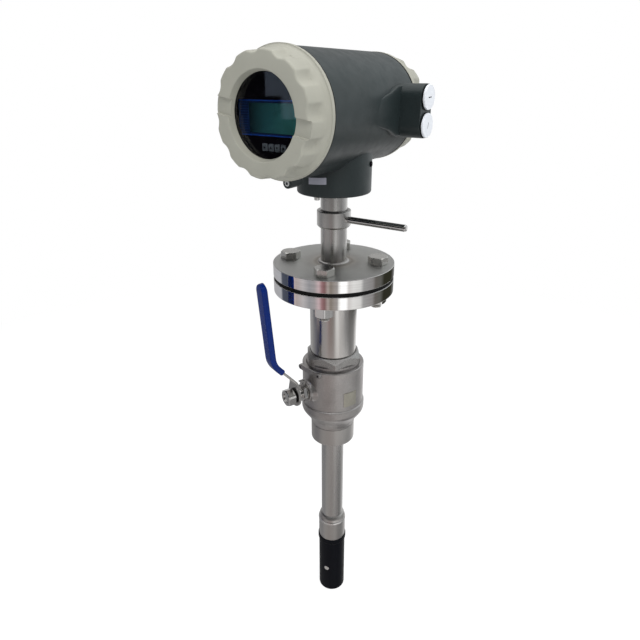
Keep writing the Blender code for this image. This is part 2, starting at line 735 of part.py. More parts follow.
def cover_outer_profile(back, rear=False):
    """Outer side of a cover, from its flat front down to the back of its rim."""
    rim, lobe, edge = cover_radii(rear)
    corner = (edge - COVER_EDGE, back + COVER_DEPTH - COVER_EDGE)
    profile = arc(corner, COVER_EDGE, 90, 0, 2)
    rim_front = back + COVER_RIM_WIDTH
    for angle in (180, 210, 240, 270):
        turn = math.radians(angle)
        profile.append((rim + (rim - lobe) * math.cos(turn),
                        rim_front + COVER_FILLET_LENGTH * (1 + math.sin(turn))))
    return profile + [(rim, back)]


def cut_cover_outside(cover, axis, back, rear=False):
    """Grip scallops round the edge and two wrench slots across the front."""
    front = back + COVER_DEPTH
    pitch = 360 / LOBE_COUNT
    offset = cover_radii(rear)[2] + SCALLOP_RADIUS - SCALLOP_DEPTH
    for i in range(LOBE_COUNT):
        angle = LOBE_PHASE + pitch * (i + 0.5)
        scallop = rod("%s_scallop_%d" % (cover.name, i + 1), SCALLOP_RADIUS, -SCALLOP_RUNOUT,
                      SCALLOP_RUNOUT, axis, SEGMENTS_FINE)
        turn = Matrix.Rotation(math.radians(angle), 4, "Z")
        lean = Matrix.Rotation(math.radians(-SCALLOP_TILT), 4, "Y")
        scallop.matrix_local = turn @ Matrix.Translation((offset, 0, front)) @ lean
        boolean(cover, scallop)
    for side in (0, 180):
        slot = box("%s_slot_%d" % (cover.name, side),
                   (WINDOW_WAIST_RADIUS, -WRENCH_SLOT_WIDTH / 2, -WRENCH_SLOT_DEPTH),
                   (COVER_RIM_RADIUS * 1.1, WRENCH_SLOT_WIDTH / 2, WRENCH_SLOT_DEPTH),
                   axis, (0, 0, front), (0, 0, LOBE_PHASE + side))
        boolean(cover, slot)


def build_front_cover(axis):
    """Front cover with its window, the ring that holds the glass and the cover's seal."""
    back = cover_back(HOUSING_FRONT)
    front = back + COVER_DEPTH
    glass_front = front - GLASS_SETBACK
    pocket = GLASS_RADIUS + GAP
    thread = SPIGOT_RADIUS + RUNNING_GAP
    cover = turned("front_cover", [
        (WINDOW_RADIUS, front), *cover_outer_profile(back), (thread, back),
        (thread, back + COVER_THREAD_DEPTH), (pocket, back + COVER_THREAD_DEPTH),
        (pocket, glass_front), (WINDOW_WAIST_RADIUS, glass_front),
    ], axis, SEGMENTS_LARGE)
    cut_cover_outside(cover, axis, back)
    material(cover, (0.39, 0.375, 0.32), 0.0, 0.5)
    glass_top = glass_front - GAP
    glass = turned("window_glass", disc_profile(
        GLASS_RADIUS, glass_top - GLASS_THICKNESS, glass_top), axis, SEGMENTS_MEDIUM, False)
    material(glass, (0.6, 0.68, 0.7), 0.0, 0.03)
    ring_top = glass_top - GLASS_THICKNESS - GAP
    retainer = turned("window_retainer", ring_profile(
        GLASS_RADIUS, GLASS_RADIUS - RETAINER_WIDTH, ring_top - RETAINER_THICKNESS, ring_top), axis,
        SEGMENTS_MEDIUM)
    material(retainer, (0.03, 0.03, 0.035), 0.0, 0.5)
    build_cover_seal("front_cover_seal", axis, HOUSING_FRONT, HOUSING_RADIUS)


def build_rear_cover(axis):
    """Blind rear cover, the same casting without a window, and its seal."""
    back = cover_back(HOUSING_REAR)
    front = back + COVER_DEPTH
    thread = SPIGOT_RADIUS + RUNNING_GAP
    cover = turned("rear_cover", [
        (0, front), *cover_outer_profile(back, True), (thread, back),
        (thread, back + COVER_THREAD_DEPTH), (GLASS_RADIUS, back + COVER_THREAD_DEPTH),
        (GLASS_RADIUS, front - BLIND_WALL), (0, front - BLIND_WALL),
    ], axis, SEGMENTS_LARGE, False)
    cut_cover_outside(cover, axis, back, True)
    material(cover, (0.39, 0.375, 0.32), 0.0, 0.5)
    build_cover_seal("rear_cover_seal", axis, HOUSING_REAR, HOUSING_RADIUS - HOUSING_TAPER)


def cover_back(shoulder):
    """Back face of a cover whose seal lies on the given housing shoulder."""
    return shoulder + SEAL_THICKNESS + 2 * GAP


def build_cover_seal(name, axis, shoulder, barrel):
    seal = turned(name, ring_profile(
        barrel - SEAL_INSET, SPIGOT_RADIUS + 2 * GAP, shoulder + GAP,
        shoulder + GAP + SEAL_THICKNESS), axis, SEGMENTS_MEDIUM)
    material(seal, (0.012, 0.012, 0.012), 0.0, 0.6)


def build_display(head):
    """Face plate with the screen and the four keys."""
    top = FACE_PLATE_FRONT
    bottom = top - FACE_PLATE_THICKNESS
    plate = turned("face_plate", disc_profile(
        CAVITY_RADIUS - FACE_PLATE_EDGE_GAP, bottom, top), head, SEGMENTS_MEDIUM, False)
    window = box("lcd_opening", centred(LCD_WIDTH + 2 * GAP, LCD_HEIGHT + 2 * GAP, -LCD_DROP,
                                        bottom - LCD_THICKNESS)[0],
                 centred(LCD_WIDTH + 2 * GAP, LCD_HEIGHT + 2 * GAP, -LCD_DROP,
                         top + LCD_THICKNESS)[1], head)
    boolean(plate, window)
    for i in range(KEY_COUNT):
        x = (i - (KEY_COUNT - 1) / 2) * KEY_SPACING
        hole = box("key_hole_%d" % (i + 1),
                   (x - KEY_WIDTH / 2 - GAP, -KEY_DROP - KEY_HEIGHT / 2 - GAP,
                    bottom - KEY_DEPTH),
                   (x + KEY_WIDTH / 2 + GAP, -KEY_DROP + KEY_HEIGHT / 2 + GAP,
                    top + KEY_DEPTH), head)
        boolean(plate, hole)
        key = box("key_%d" % (i + 1),
                  (-KEY_WIDTH / 2, -KEY_HEIGHT / 2, KEY_PROUD - KEY_DEPTH),
                  (KEY_WIDTH / 2, KEY_HEIGHT / 2, KEY_PROUD), head, (x, -KEY_DROP, top))
        material(key, (0.55, 0.57, 0.58), 0.0, 0.4)
    material(plate, (0.012, 0.012, 0.016), 0.0, 0.45)
    frame_top = top + LCD_PROUD
    low, high = centred(LCD_WIDTH, LCD_HEIGHT, -LCD_DROP, frame_top)
    frame = box("lcd_frame", (low[0], low[1], frame_top - LCD_THICKNESS), high, head)
    low, high = centred(SCREEN_WIDTH + 2 * GAP, SCREEN_HEIGHT + 2 * GAP, -LCD_DROP, frame_top)
    pocket = box("screen_pocket", (low[0], low[1], frame_top - SCREEN_THICKNESS - GAP),
                 (high[0], high[1], frame_top + LCD_THICKNESS), head)
    boolean(frame, pocket)
    material(frame, (0.008, 0.03, 0.16), 0.0, 0.4)
    low, high = centred(SCREEN_WIDTH, SCREEN_HEIGHT, -LCD_DROP, frame_top)
    screen = box("lcd_screen", (low[0], low[1], frame_top - SCREEN_THICKNESS), high, head)
    material(screen, (0.01, 0.07, 0.06), 0.0, 0.15)


def centred(width, height, centre_y, z):
    """Two corners of a rectangle at one height, centred across the local X axis."""
    return ((-width / 2, centre_y - height / 2, z), (width / 2, centre_y + height / 2, z))


def build_electronics(head):
    """Two boards on a carrier with four posts, and terminals in the rear chamber."""
    base = PARTITION_FRONT + GAP
    carrier = box("board_carrier",
                  (-MAIN_BOARD_WIDTH / 2, -POST_RISE - POST_RADIUS * 2, base),
                  (MAIN_BOARD_WIDTH / 2, POST_RISE + POST_RADIUS * 2,
                   base + CARRIER_THICKNESS), head)
    corners = [(sx * POST_SPREAD, sy * POST_RISE, 0) for sx in (-1, 1) for sy in (-1, 1)]
    for i, corner in enumerate(corners):
        post = rod("carrier_post_%d" % (i + 1), POST_RADIUS, base,
                   DISPLAY_BOARD_FRONT - BOARD_THICKNESS - GAP, head, 8, corner)
        boolean(carrier, post, "UNION")
    material(carrier, (0.5, 0.5, 0.48), 1.0, 0.4)
    for name, front, width, height in (
            ("display_board", DISPLAY_BOARD_FRONT, DISPLAY_BOARD_WIDTH, DISPLAY_BOARD_HEIGHT),
            ("main_board", MAIN_BOARD_FRONT, MAIN_BOARD_WIDTH, MAIN_BOARD_HEIGHT)):
        board = box(name, (-width / 2, -height / 2, front - BOARD_THICKNESS),
                    (width / 2, height / 2, front), head)
        if name == "main_board":
            for i, corner in enumerate(corners):
                hole = rod("board_hole_%d" % (i + 1), POST_RADIUS + GAP,
                           front - 2 * BOARD_THICKNESS, front + BOARD_THICKNESS, head, 8,
                           corner)
                boolean(board, hole)
        material(board, (0.01, 0.09, 0.03), 0.0, 0.5)
    build_terminals(head)


def build_terminals(head):
    """Terminal strip with walls between its ways, screwed to the partition."""
    way = TERMINAL_WIDTH / TERMINAL_WAYS
    wall = way * 0.2
    step = TERMINAL_DEPTH * 0.4
    back = PARTITION_FRONT - PARTITION_THICKNESS - GAP
    outline = [(-TERMINAL_WIDTH / 2, back), (-TERMINAL_WIDTH / 2, back - TERMINAL_DEPTH)]
    for i in range(TERMINAL_WAYS):
        left = -TERMINAL_WIDTH / 2 + i * way
        outline += [(left + wall, back - TERMINAL_DEPTH),
                    (left + wall, back - TERMINAL_DEPTH + step),
                    (left + way - wall, back - TERMINAL_DEPTH + step),
                    (left + way - wall, back - TERMINAL_DEPTH)]
    outline += [(TERMINAL_WIDTH / 2, back - TERMINAL_DEPTH), (TERMINAL_WIDTH / 2, back)]
    strip = flat_outline("terminal_block", [(x, -z) for x, z in outline],
                         -TERMINAL_HEIGHT / 2, TERMINAL_HEIGHT / 2, None,
                         (0, 0, HEAD_HEIGHT))
    material(strip, (0.02, 0.1, 0.05), 0.0, 0.45)


def build_probe():
    """Probe tube, steel sensor head and the polymer tip with its coil and electrodes."""
    bore = ROD_RADIUS - ROD_WALL
    tube_top = NECK_BOTTOM + NECK_SOCKET_DEPTH - GAP
    tube = turned("probe_tube", ring_profile(ROD_RADIUS, bore, ROD_BOTTOM, tube_top), None,
                  SEGMENTS_SMALL)
    material(tube, (0.56, 0.55, 0.53), 1.0, 0.22)
    spigot = bore - GAP
    shoulder = ROD_BOTTOM - GAP
    roof = SENSOR_STEEL_BOTTOM + SENSOR_SOCKET_DEPTH
    head = turned("sensor_head", [
        (SENSOR_WIRE_RADIUS, shoulder + SENSOR_SPIGOT_LENGTH),
        (spigot, shoulder + SENSOR_SPIGOT_LENGTH), (spigot, shoulder),
        (ROD_RADIUS, shoulder),
        *[(ROD_RADIUS + wider, shoulder - drop) for wider, drop in SHOULDER_STATIONS],
        (SENSOR_RADIUS, TAPER_END), (SENSOR_RADIUS, SENSOR_STEEL_BOTTOM), (SENSOR_SOCKET_RADIUS, SENSOR_STEEL_BOTTOM),
        (SENSOR_SOCKET_RADIUS, roof), (SENSOR_WIRE_RADIUS, roof),
    ], None, SEGMENTS_SMALL)
    material(head, (0.52, 0.51, 0.49), 1.0, 0.28)
    build_tip(roof)


def build_tip(roof):
    lip_top = SENSOR_STEEL_BOTTOM - GAP
    lip_bottom = lip_top - LIP_HEIGHT
    plug = SENSOR_SOCKET_RADIUS - GAP
    cavity = TIP_RADIUS - TIP_WALL
    tip = turned("sensor_tip", [
        (cavity, roof - GAP), (plug, roof - GAP), (plug, lip_top), (LIP_RADIUS, lip_top),
        (LIP_RADIUS, lip_bottom + TIP_EDGE), (TIP_RADIUS, lip_bottom),
        (TIP_RADIUS, TIP_BOTTOM + TIP_EDGE), (TIP_RADIUS - TIP_EDGE, TIP_BOTTOM),
        (0, TIP_BOTTOM),
    ], None, SEGMENTS_SMALL, False)
    close_cup(tip, cavity, TIP_BOTTOM + TIP_FLOOR)
    shank_start = cavity - 0.0006
    head_start = TIP_RADIUS - ELECTRODE_HEAD_DEPTH
    face = TIP_RADIUS + ELECTRODE_PROUD
    for label, azimuth in (("front", ELECTRODE_AZIMUTH), ("rear", ELECTRODE_AZIMUTH + 180)):
        seat = turned("electrode_seat_" + label, [
            (0, face * 1.2), (ELECTRODE_HEAD_RADIUS + GAP, face * 1.2),
            (ELECTRODE_HEAD_RADIUS + GAP, head_start - GAP),
            (ELECTRODE_SHANK_RADIUS + GAP, head_start - GAP),
            (ELECTRODE_SHANK_RADIUS + GAP, cavity * 0.8), (0, cavity * 0.8),
        ], None, SEGMENTS_FINE, False, (0, 0, ELECTRODE_HEIGHT), (0, 90, azimuth))
        boolean(tip, seat)
        electrode = turned("electrode_" + label, [
            (0, face), (ELECTRODE_HEAD_RADIUS * 0.75, face),
            (ELECTRODE_HEAD_RADIUS, face - ELECTRODE_PROUD * 2),
            (ELECTRODE_HEAD_RADIUS, head_start), (ELECTRODE_SHANK_RADIUS, head_start),
            (ELECTRODE_SHANK_RADIUS, shank_start), (0, shank_start),
        ], None, SEGMENTS_FINE, False, (0, 0, ELECTRODE_HEIGHT), (0, 90, azimuth))
        material(electrode, (0.75, 0.76, 0.77), 1.0, 0.2)
    material(tip, (0.01, 0.01, 0.011), 0.0, 0.4)
    build_coil()


def build_coil():
    """Excitation coil wound on its iron core, standing on the floor of the tip."""
    bottom = TIP_BOTTOM + TIP_FLOOR + GAP
    coil = turned("excitation_coil", [
        (0, CORE_TOP), (CORE_RADIUS, CORE_TOP), (CORE_RADIUS, COIL_TOP),
        (COIL_RADIUS, COIL_TOP), (COIL_RADIUS, COIL_BOTTOM), (CORE_RADIUS, COIL_BOTTOM),
        (CORE_RADIUS, bottom), (0, bottom),
    ], None, SEGMENTS_FINE, False)
    material(coil, (0.6, 0.25, 0.1), 1.0, 0.35)


def close_cup(tip, cavity, floor):
    """Finish the open profile of the tip with the bottom and wall of its cavity."""
    mesh = tip.data
    points = [v.co.copy() for v in mesh.vertices]
    points = [Vector((0, 0, floor)), Vector((cavity, 0, floor))] + points
    mesh.clear_geometry()
    edges = [(i, i + 1) for i in range(len(points) - 1)]
    mesh.from_pydata([tuple(p) for p in points], edges, [])


def build_collar():
    """Clamping collar on the probe tube, with the handle that turns the probe."""
    bore = ROD_RADIUS + GAP
    collar = turned("positioning_collar", [
        (bore + COLLAR_SINK, COLLAR_TOP), (COLLAR_RADIUS - COLLAR_EDGE, COLLAR_TOP),
        (COLLAR_RADIUS, COLLAR_TOP - COLLAR_EDGE),
        (COLLAR_RADIUS, COLLAR_BOTTOM + COLLAR_CHAMFER),
        (COLLAR_RADIUS - COLLAR_CHAMFER, COLLAR_BOTTOM), (bore, COLLAR_BOTTOM),
        (bore, COLLAR_TOP - COLLAR_SINK),
    ], None, SEGMENTS_SMALL)
    hole = rod("handle_hole", HANDLE_RADIUS + GAP, HANDLE_SEAT - GAP, COLLAR_RADIUS * 1.5,
               None, SEGMENTS_FINE, (0, 0, HANDLE_HEIGHT), (0, 90, HANDLE_AZIMUTH))
    boolean(collar, hole)
    material(collar, (0.56, 0.55, 0.53), 1.0, 0.25)
    radius = HANDLE_RADIUS
    handle = turned("positioning_handle", [
        (0, HANDLE_REACH), *arc((radius * 0.5, HANDLE_REACH - radius * 0.5), radius * 0.5,
                                90, 0, 3)[0:],
        (radius, HANDLE_SEAT), (0, HANDLE_SEAT),
    ], None, SEGMENTS_FINE, False, (0, 0, HANDLE_HEIGHT), (0, 90, HANDLE_AZIMUTH))
    material(handle, (0.6, 0.59, 0.57), 1.0, 0.15)


def bolt_places():
    return [on_circle(BOLT_CIRCLE_RADIUS, BOLT_PHASE + 360 / BOLT_COUNT * i)
            for i in range(BOLT_COUNT)]


def cut_bolt_holes(plate, bottom, top):
    for i, spot in enumerate(bolt_places()):
        hole = rod("%s_hole_%d" % (plate.name, i + 1), BOLT_HOLE_RADIUS, bottom - GAP * 10,
                   top + GAP * 10, None, SEGMENTS_FINE, spot)
        boolean(plate, hole)


def build_flanges():
    """Bolted flange pair: the upper one on the probe, the lower one on the sleeve."""
    bore = ROD_RADIUS + GAP
    edge = FLANGE_EDGE
    top, bottom = UPPER_FLANGE_TOP, UPPER_FLANGE_BOTTOM
    upper = turned("upper_flange", [
        (bore, top + WELD_HEIGHT), (bore + WELD_WIDTH * 0.35, top + WELD_HEIGHT * 0.8),
        (bore + WELD_WIDTH, top), (FLANGE_RADIUS - edge, top), (FLANGE_RADIUS, top - edge),
        (FLANGE_RADIUS, bottom), (bore, bottom),
    ], None, SEGMENTS_LARGE)
    cut_bolt_holes(upper, bottom, top)
    material(upper, (0.55, 0.54, 0.52), 1.0, 0.3)
    gasket_bottom = LOWER_FLANGE_TOP + GAP
    gasket_top = UPPER_FLANGE_BOTTOM - GAP
    gasket = turned("flange_gasket", ring_profile(
        GASKET_RADIUS, SLEEVE_RADIUS, gasket_bottom, gasket_top), None, SEGMENTS_MEDIUM)
    cut_bolt_holes(gasket, gasket_bottom, gasket_top)
    material(gasket, (0.008, 0.008, 0.008), 0.0, 0.7)
    top, bottom = LOWER_FLANGE_TOP, LOWER_FLANGE_BOTTOM
    bore = SLEEVE_RADIUS + GAP
    lower = turned("lower_flange", [
        (bore, top), (FLANGE_RADIUS, top), (FLANGE_RADIUS, bottom + edge),
        (FLANGE_RADIUS - edge, bottom),
        (bore + WELD_WIDTH, bottom), (bore + WELD_WIDTH * 0.35, bottom - WELD_HEIGHT * 0.8),
        (bore, bottom - WELD_HEIGHT),
    ], None, SEGMENTS_LARGE)
    cut_bolt_holes(lower, bottom, top)
    material(lower, (0.55, 0.54, 0.52), 1.0, 0.3)


def build_fasteners():
    """Four hexagon bolts through the flanges and their nuts."""
    head_bottom = UPPER_FLANGE_TOP + GAP
    nut_top = LOWER_FLANGE_BOTTOM - GAP
    corner = BOLT_ACROSS_FLATS / 2 / math.cos(math.radians(30))
    for i, spot in enumerate(bolt_places()):
        turn = BOLT_PHASE + 360 / BOLT_COUNT * i
        bolt = hexagon("flange_bolt_%d" % (i + 1), BOLT_ACROSS_FLATS, head_bottom,
                       head_bottom + BOLT_HEAD_HEIGHT, None, turn, spot)
        crown = turned("bolt_crown_%d" % (i + 1), [
            (0, head_bottom + BOLT_HEAD_HEIGHT),
            (BOLT_ACROSS_FLATS / 2 * 0.97, head_bottom + BOLT_HEAD_HEIGHT),
            (corner * 1.01, head_bottom + BOLT_HEAD_HEIGHT * 0.8),
            (corner * 1.01, head_bottom - GAP), (0, head_bottom - GAP),
        ], None, SEGMENTS_FINE, False, spot)
        boolean(bolt, crown, "INTERSECT")
        shank = rod("bolt_shank_%d" % (i + 1), BOLT_RADIUS, BOLT_END,
                    head_bottom + BOLT_HEAD_HEIGHT / 2, None, SEGMENTS_FINE, spot)
        boolean(bolt, shank, "UNION")
        material(bolt, (0.5, 0.48, 0.44), 1.0, 0.35)
        nut = hexagon("flange_nut_%d" % (i + 1), BOLT_ACROSS_FLATS, nut_top - NUT_HEIGHT,
                      nut_top, None, turn + 12, spot)
        hole = rod("nut_hole_%d" % (i + 1), BOLT_RADIUS + GAP, nut_top - NUT_HEIGHT * 2,
                   nut_top + NUT_HEIGHT, None, SEGMENTS_FINE, spot)
        boolean(nut, hole)
        material(nut, (0.6, 0.6, 0.6), 1.0, 0.3)


def build_sleeve_and_cap():
    """Pipe between flange and valve, and the valve's hexagonal end cap."""
    sleeve = turned("sleeve_tube", ring_profile(
        SLEEVE_RADIUS, SLEEVE_RADIUS - SLEEVE_WALL, SLEEVE_BOTTOM, SLEEVE_TOP), None,
        SEGMENTS_MEDIUM)
    material(sleeve, (0.58, 0.57, 0.55), 1.0, 0.2)
    cap = hexagon("valve_end_cap", CAP_ACROSS_FLATS, CAP_BOTTOM, CAP_TOP, None,
                  CAP_CORNER_AZIMUTH)
    corner = CAP_ACROSS_FLATS / 2 / math.cos(math.radians(30)) * 1.01
    crown = turned("cap_crown", [
        (0, CAP_TOP), (CAP_CHAMFER_RADIUS, CAP_TOP), (corner, CAP_TOP - CAP_CHAMFER_DEPTH),
        (corner, CAP_BOTTOM - GAP), (0, CAP_BOTTOM - GAP),
    ], None, SEGMENTS_MEDIUM, False)
    boolean(cap, crown, "INTERSECT")
    low, middle = BALL_HEIGHT + SEAT_REACH + GAP, (CAP_BOTTOM + CAP_TOP) / 2
    spigot = turned("cap_spigot", [
        (0, low), (CAP_SPIGOT_RADIUS, low), (CAP_SPIGOT_RADIUS, CAP_BOTTOM + GAP),
        (CAP_CHAMFER_RADIUS, CAP_BOTTOM + GAP), (CAP_CHAMFER_RADIUS, middle), (0, middle),
    ], None, SEGMENTS_MEDIUM, False)
    boolean(cap, spigot, "UNION")
    socket = rod("cap_socket", SLEEVE_RADIUS + GAP, SLEEVE_BOTTOM - GAP, CAP_TOP * 1.1, None,
                 SEGMENTS_MEDIUM)
    boolean(cap, socket)
    bore = rod("cap_bore", VALVE_BORE_RADIUS, BALL_HEIGHT, CAP_TOP, None, SEGMENTS_SMALL)
    boolean(cap, bore)
    material(cap, (0.36, 0.35, 0.33), 1.0, 0.5)


def build_valve_body(stem):
    """Cast valve body with the stem boss and the lock pad."""
    body = turned("valve_body", [
        (0, BODY_TOP), (BODY_RADIUS - HOUSING_EDGE, BODY_TOP),
        (BODY_RADIUS, BODY_TOP - HOUSING_EDGE), (BODY_RADIUS, BAND_TOP + BAND_EDGE),
        (BAND_RADIUS, BAND_TOP), (BAND_RADIUS, BAND_BOTTOM),
        *[(BAND_RADIUS - inside, BAND_BOTTOM - below) for inside, below in BODY_TAPER],
        (BODY_FOOT_RADIUS, BODY_FOOT_TOP), (BODY_FOOT_RADIUS, BASE_HEIGHT), (0, BASE_HEIGHT),
    ], None, SEGMENTS_MEDIUM, False)
    boss = turned("stem_boss", [
        (0, BOSS_REACH), (BOSS_RADIUS, BOSS_REACH), (BOSS_RADIUS, BOSS_ROOT + 0.0050),
        (BOSS_ROOT_RADIUS, BOSS_ROOT), (BOSS_ROOT_RADIUS, BODY_RADIUS / 2),
        (0, BODY_RADIUS / 2),
    ], stem, SEGMENTS_SMALL, False)
    boolean(body, boss, "UNION")
    add_lock_pad(body, stem)
    cavity = rod("valve_cavity", VALVE_CAVITY_RADIUS, BALL_HEIGHT - SEAT_REACH - GAP,
                 BODY_TOP * 1.1, None, SEGMENTS_MEDIUM)
    boolean(body, cavity)
    bore = rod("valve_bore", VALVE_BORE_RADIUS, -BASE_HEIGHT, BALL_HEIGHT, None,
               SEGMENTS_SMALL)
    boolean(body, bore)
    passage = turned("stem_passage", [
        (0, BOSS_REACH * 1.2), (PACKING_RADIUS + GAP, BOSS_REACH * 1.2),
        (PACKING_RADIUS + GAP, PACKING_START - GAP), (STEM_RADIUS + GAP, PACKING_START - GAP),
        (STEM_RADIUS + GAP, STEM_COLLAR_END + GAP),
        (STEM_COLLAR_RADIUS + GAP, STEM_COLLAR_END + GAP),
        (STEM_COLLAR_RADIUS + GAP, BALL_RADIUS / 2), (0, BALL_RADIUS / 2),
    ], stem, SEGMENTS_SMALL, False)
    boolean(body, passage)
    material(body, (0.36, 0.35, 0.33), 1.0, 0.5)


def add_lock_pad(body, stem):
    """Plate with round ends and two small holes, turned a little about the vertical."""
    radius = PAD_HEIGHT / 2
    outline = (arc((PAD_RISE, -PAD_FIRST - radius), radius, 0, 180, 6)
               + arc((PAD_RISE, -PAD_LAST + radius), radius, 180, 360, 6))
    pad = flat_outline("lock_pad", outline, -PAD_THICKNESS, 0.0, stem, (0, 0, PAD_REACH),
                       (PAD_TURN, 0, 0))
    boolean(body, pad, "UNION")
    turn = math.radians(PAD_TURN)
    for i, side in enumerate((PAD_FIRST + PAD_HOLE_INSET, PAD_LAST - PAD_HOLE_INSET)):
        spot = (PAD_RISE, -side * math.cos(turn), PAD_REACH - side * math.sin(turn))
        hole = rod("pad_hole_%d" % (i + 1), PAD_HOLE_RADIUS, -PAD_HOLE_DEPTH,
                   PAD_HOLE_DEPTH, stem, 8, spot, (PAD_TURN, 0, 0))
        boolean(body, hole)


def build_ball_and_seats(stem):
    """Bored ball between two seat rings."""
    profile = arc((0, 0), BALL_RADIUS, 90, -90, 10)
    profile = [(0, BALL_RADIUS), *profile[1:-1], (0, -BALL_RADIUS)]
    ball = turned("valve_ball", profile, None, SEGMENTS_SMALL, False, (0, 0, BALL_HEIGHT))
    bore = rod("ball_bore", BALL_BORE_RADIUS, -BALL_RADIUS * 1.1, BALL_RADIUS * 1.1, None,
               SEGMENTS_SMALL, (0, 0, BALL_HEIGHT))
    boolean(ball, bore)
    slot = box("ball_slot",
               (-TANG_LENGTH, -TANG_WIDTH / 2 - GAP, BALL_RADIUS - TANG_DEPTH - GAP),
               (TANG_LENGTH, TANG_WIDTH / 2 + GAP, BALL_RADIUS * 1.2), stem)
    boolean(ball, slot)
    material(ball, (0.6, 0.6, 0.6), 1.0, 0.12)
    running = BALL_RADIUS + RUNNING_GAP
    contact = []
    for radius in (SEAT_OUTER_RADIUS, (SEAT_OUTER_RADIUS + VALVE_BORE_RADIUS) / 2,
                   VALVE_BORE_RADIUS):
        contact.append((radius, math.sqrt(running ** 2 - radius ** 2)))
    upper = [(VALVE_BORE_RADIUS, SEAT_REACH), (SEAT_OUTER_RADIUS, SEAT_REACH), *contact]
    lower = [(r, -z) for r, z in reversed(upper)]
    for name, profile in (("upper_seat", upper), ("lower_seat", lower)):
        seat = turned(name, profile, None, SEGMENTS_MEDIUM, True, (0, 0, BALL_HEIGHT))
        material(seat, (0.85, 0.85, 0.83), 0.0, 0.4)


def build_stem(stem):
    """Stem with its tang in the ball, its packing, the packing nut and the nut's lock tab."""
    collar_start = BALL_RADIUS + GAP
    shaft = turned("valve_stem", [
        (0, STEM_END), (STEM_RADIUS, STEM_END), (STEM_RADIUS, STEM_COLLAR_END),
        (STEM_COLLAR_RADIUS, STEM_COLLAR_END), (STEM_COLLAR_RADIUS, collar_start),
        (0, collar_start),
    ], stem, SEGMENTS_SMALL, False)
    tang = box("stem_tang", (-TANG_LENGTH / 2, -TANG_WIDTH / 2, BALL_RADIUS - TANG_DEPTH),
               (TANG_LENGTH / 2, TANG_WIDTH / 2, collar_start + GAP), stem)
    boolean(shaft, tang, "UNION")
    for side in (-1, 1):
        low = min(side * STEM_FLATS_WIDTH / 2, side * STEM_RADIUS * 2)
        flat = box("stem_flat_%d" % (side + 2), (-STEM_RADIUS * 2, low, STEM_FLATS_START),
                   (STEM_RADIUS * 2, low + STEM_RADIUS * 2 - STEM_FLATS_WIDTH / 2,
                    STEM_END * 1.1), stem)
        boolean(shaft, flat)
    material(shaft, (0.55, 0.55, 0.54), 1.0, 0.25)
    packing_end = PACKING_START + PACKING_LENGTH
    packing = turned("stem_packing", ring_profile(
        PACKING_RADIUS, STEM_RADIUS + GAP, PACKING_START, packing_end), stem,
        SEGMENTS_FINE)
    material(packing, (0.85, 0.85, 0.83), 0.0, 0.5)
    tab_start = packing_end + GAP
    tab_end = tab_start + LOCK_TAB_THICKNESS
    tab = turned("nut_lock_tab", ring_profile(
        LOCK_TAB_RADIUS, STEM_RADIUS + GAP, tab_start, tab_end), stem, SEGMENTS_SMALL)
    leaf = box("lock_leaf", (LOCK_TAB_RADIUS * 0.8, -LOCK_TAB_WIDTH / 2, tab_start),
               (LOCK_TAB_RISE, LOCK_TAB_WIDTH / 2, tab_end), stem)
    boolean(tab, leaf, "UNION")
    fold = box("lock_fold", (LOCK_TAB_RISE - LOCK_TAB_THICKNESS, -LOCK_TAB_WIDTH / 2,
                             tab_start), (LOCK_TAB_RISE, LOCK_TAB_WIDTH / 2,
                                          tab_end + LOCK_TAB_FOLD), stem)
    boolean(tab, fold, "UNION")
    material(tab, (0.5, 0.49, 0.47), 1.0, 0.35)
    nut_start = tab_end + GAP
    nut = hexagon("packing_nut", PACKING_NUT_ACROSS_FLATS, nut_start,
                  nut_start + PACKING_NUT_HEIGHT, stem, 20.0)
    hole = rod("packing_nut_hole", STEM_RADIUS + GAP, nut_start - PACKING_NUT_HEIGHT,
               nut_start + 2 * PACKING_NUT_HEIGHT, stem, SEGMENTS_SMALL)
    boolean(nut, hole)
    material(nut, (0.6, 0.6, 0.58), 1.0, 0.25)


def lever_path():
    """Middle line of the lever as (rise, reach, tilt) stations, with arcs at both bends."""
    reach = STEM_FLATS_START + GAP + LEVER_THICKNESS / 2
    slant, lean = math.radians(LEVER_SLANT), math.radians(LEVER_LEAN)
    stations = [(-LEVER_HUB_RADIUS * math.cos(math.radians(a)), reach, 0.0)
                for a in (0, 25, 50, 75)]
    stations.append((LEVER_HUB_RADIUS * 0.5, reach, 0.0))
    first = (LEVER_FIRST_BEND, reach)
    rise = LEVER_SECOND_BEND - LEVER_FIRST_BEND
    second = (LEVER_SECOND_BEND, reach + rise * math.tan(slant))
    stations += bend_stations(first, 0.0, slant, LEVER_FIRST_BEND_RADIUS, 3)
    stations.append((GRIP_START - GRIP_OVERLAP, reach + (GRIP_START - GRIP_OVERLAP
                                                         - first[0]) * math.tan(slant), slant))
    stations += bend_stations(second, slant, lean, LEVER_SECOND_BEND_RADIUS, 5)
    end_reach = second[1] + (LEVER_TOP - second[0]) * math.tan(lean)
    stations.append((LEVER_TOP, end_reach, lean))
    return stations


def bend_stations(corner, before, after, radius, steps):
    """Stations round a bend that replaces a corner, from one tilt to another."""
    tangent = radius * math.tan(abs(after - before) / 2)
    start = Vector(corner) - tangent * Vector((math.cos(before), math.sin(before)))
    side = 1 if after > before else -1
    normal = Vector((-math.sin(before), math.cos(before))) * side
    centre = start + normal * radius
    stations = []
    for i in range(steps + 1):
        tilt = before + (after - before) * i / steps
        offset = Vector((math.sin(tilt), -math.cos(tilt))) * side * radius
        point = centre + offset
        stations.append((point.x, point.y, tilt))
    return stations


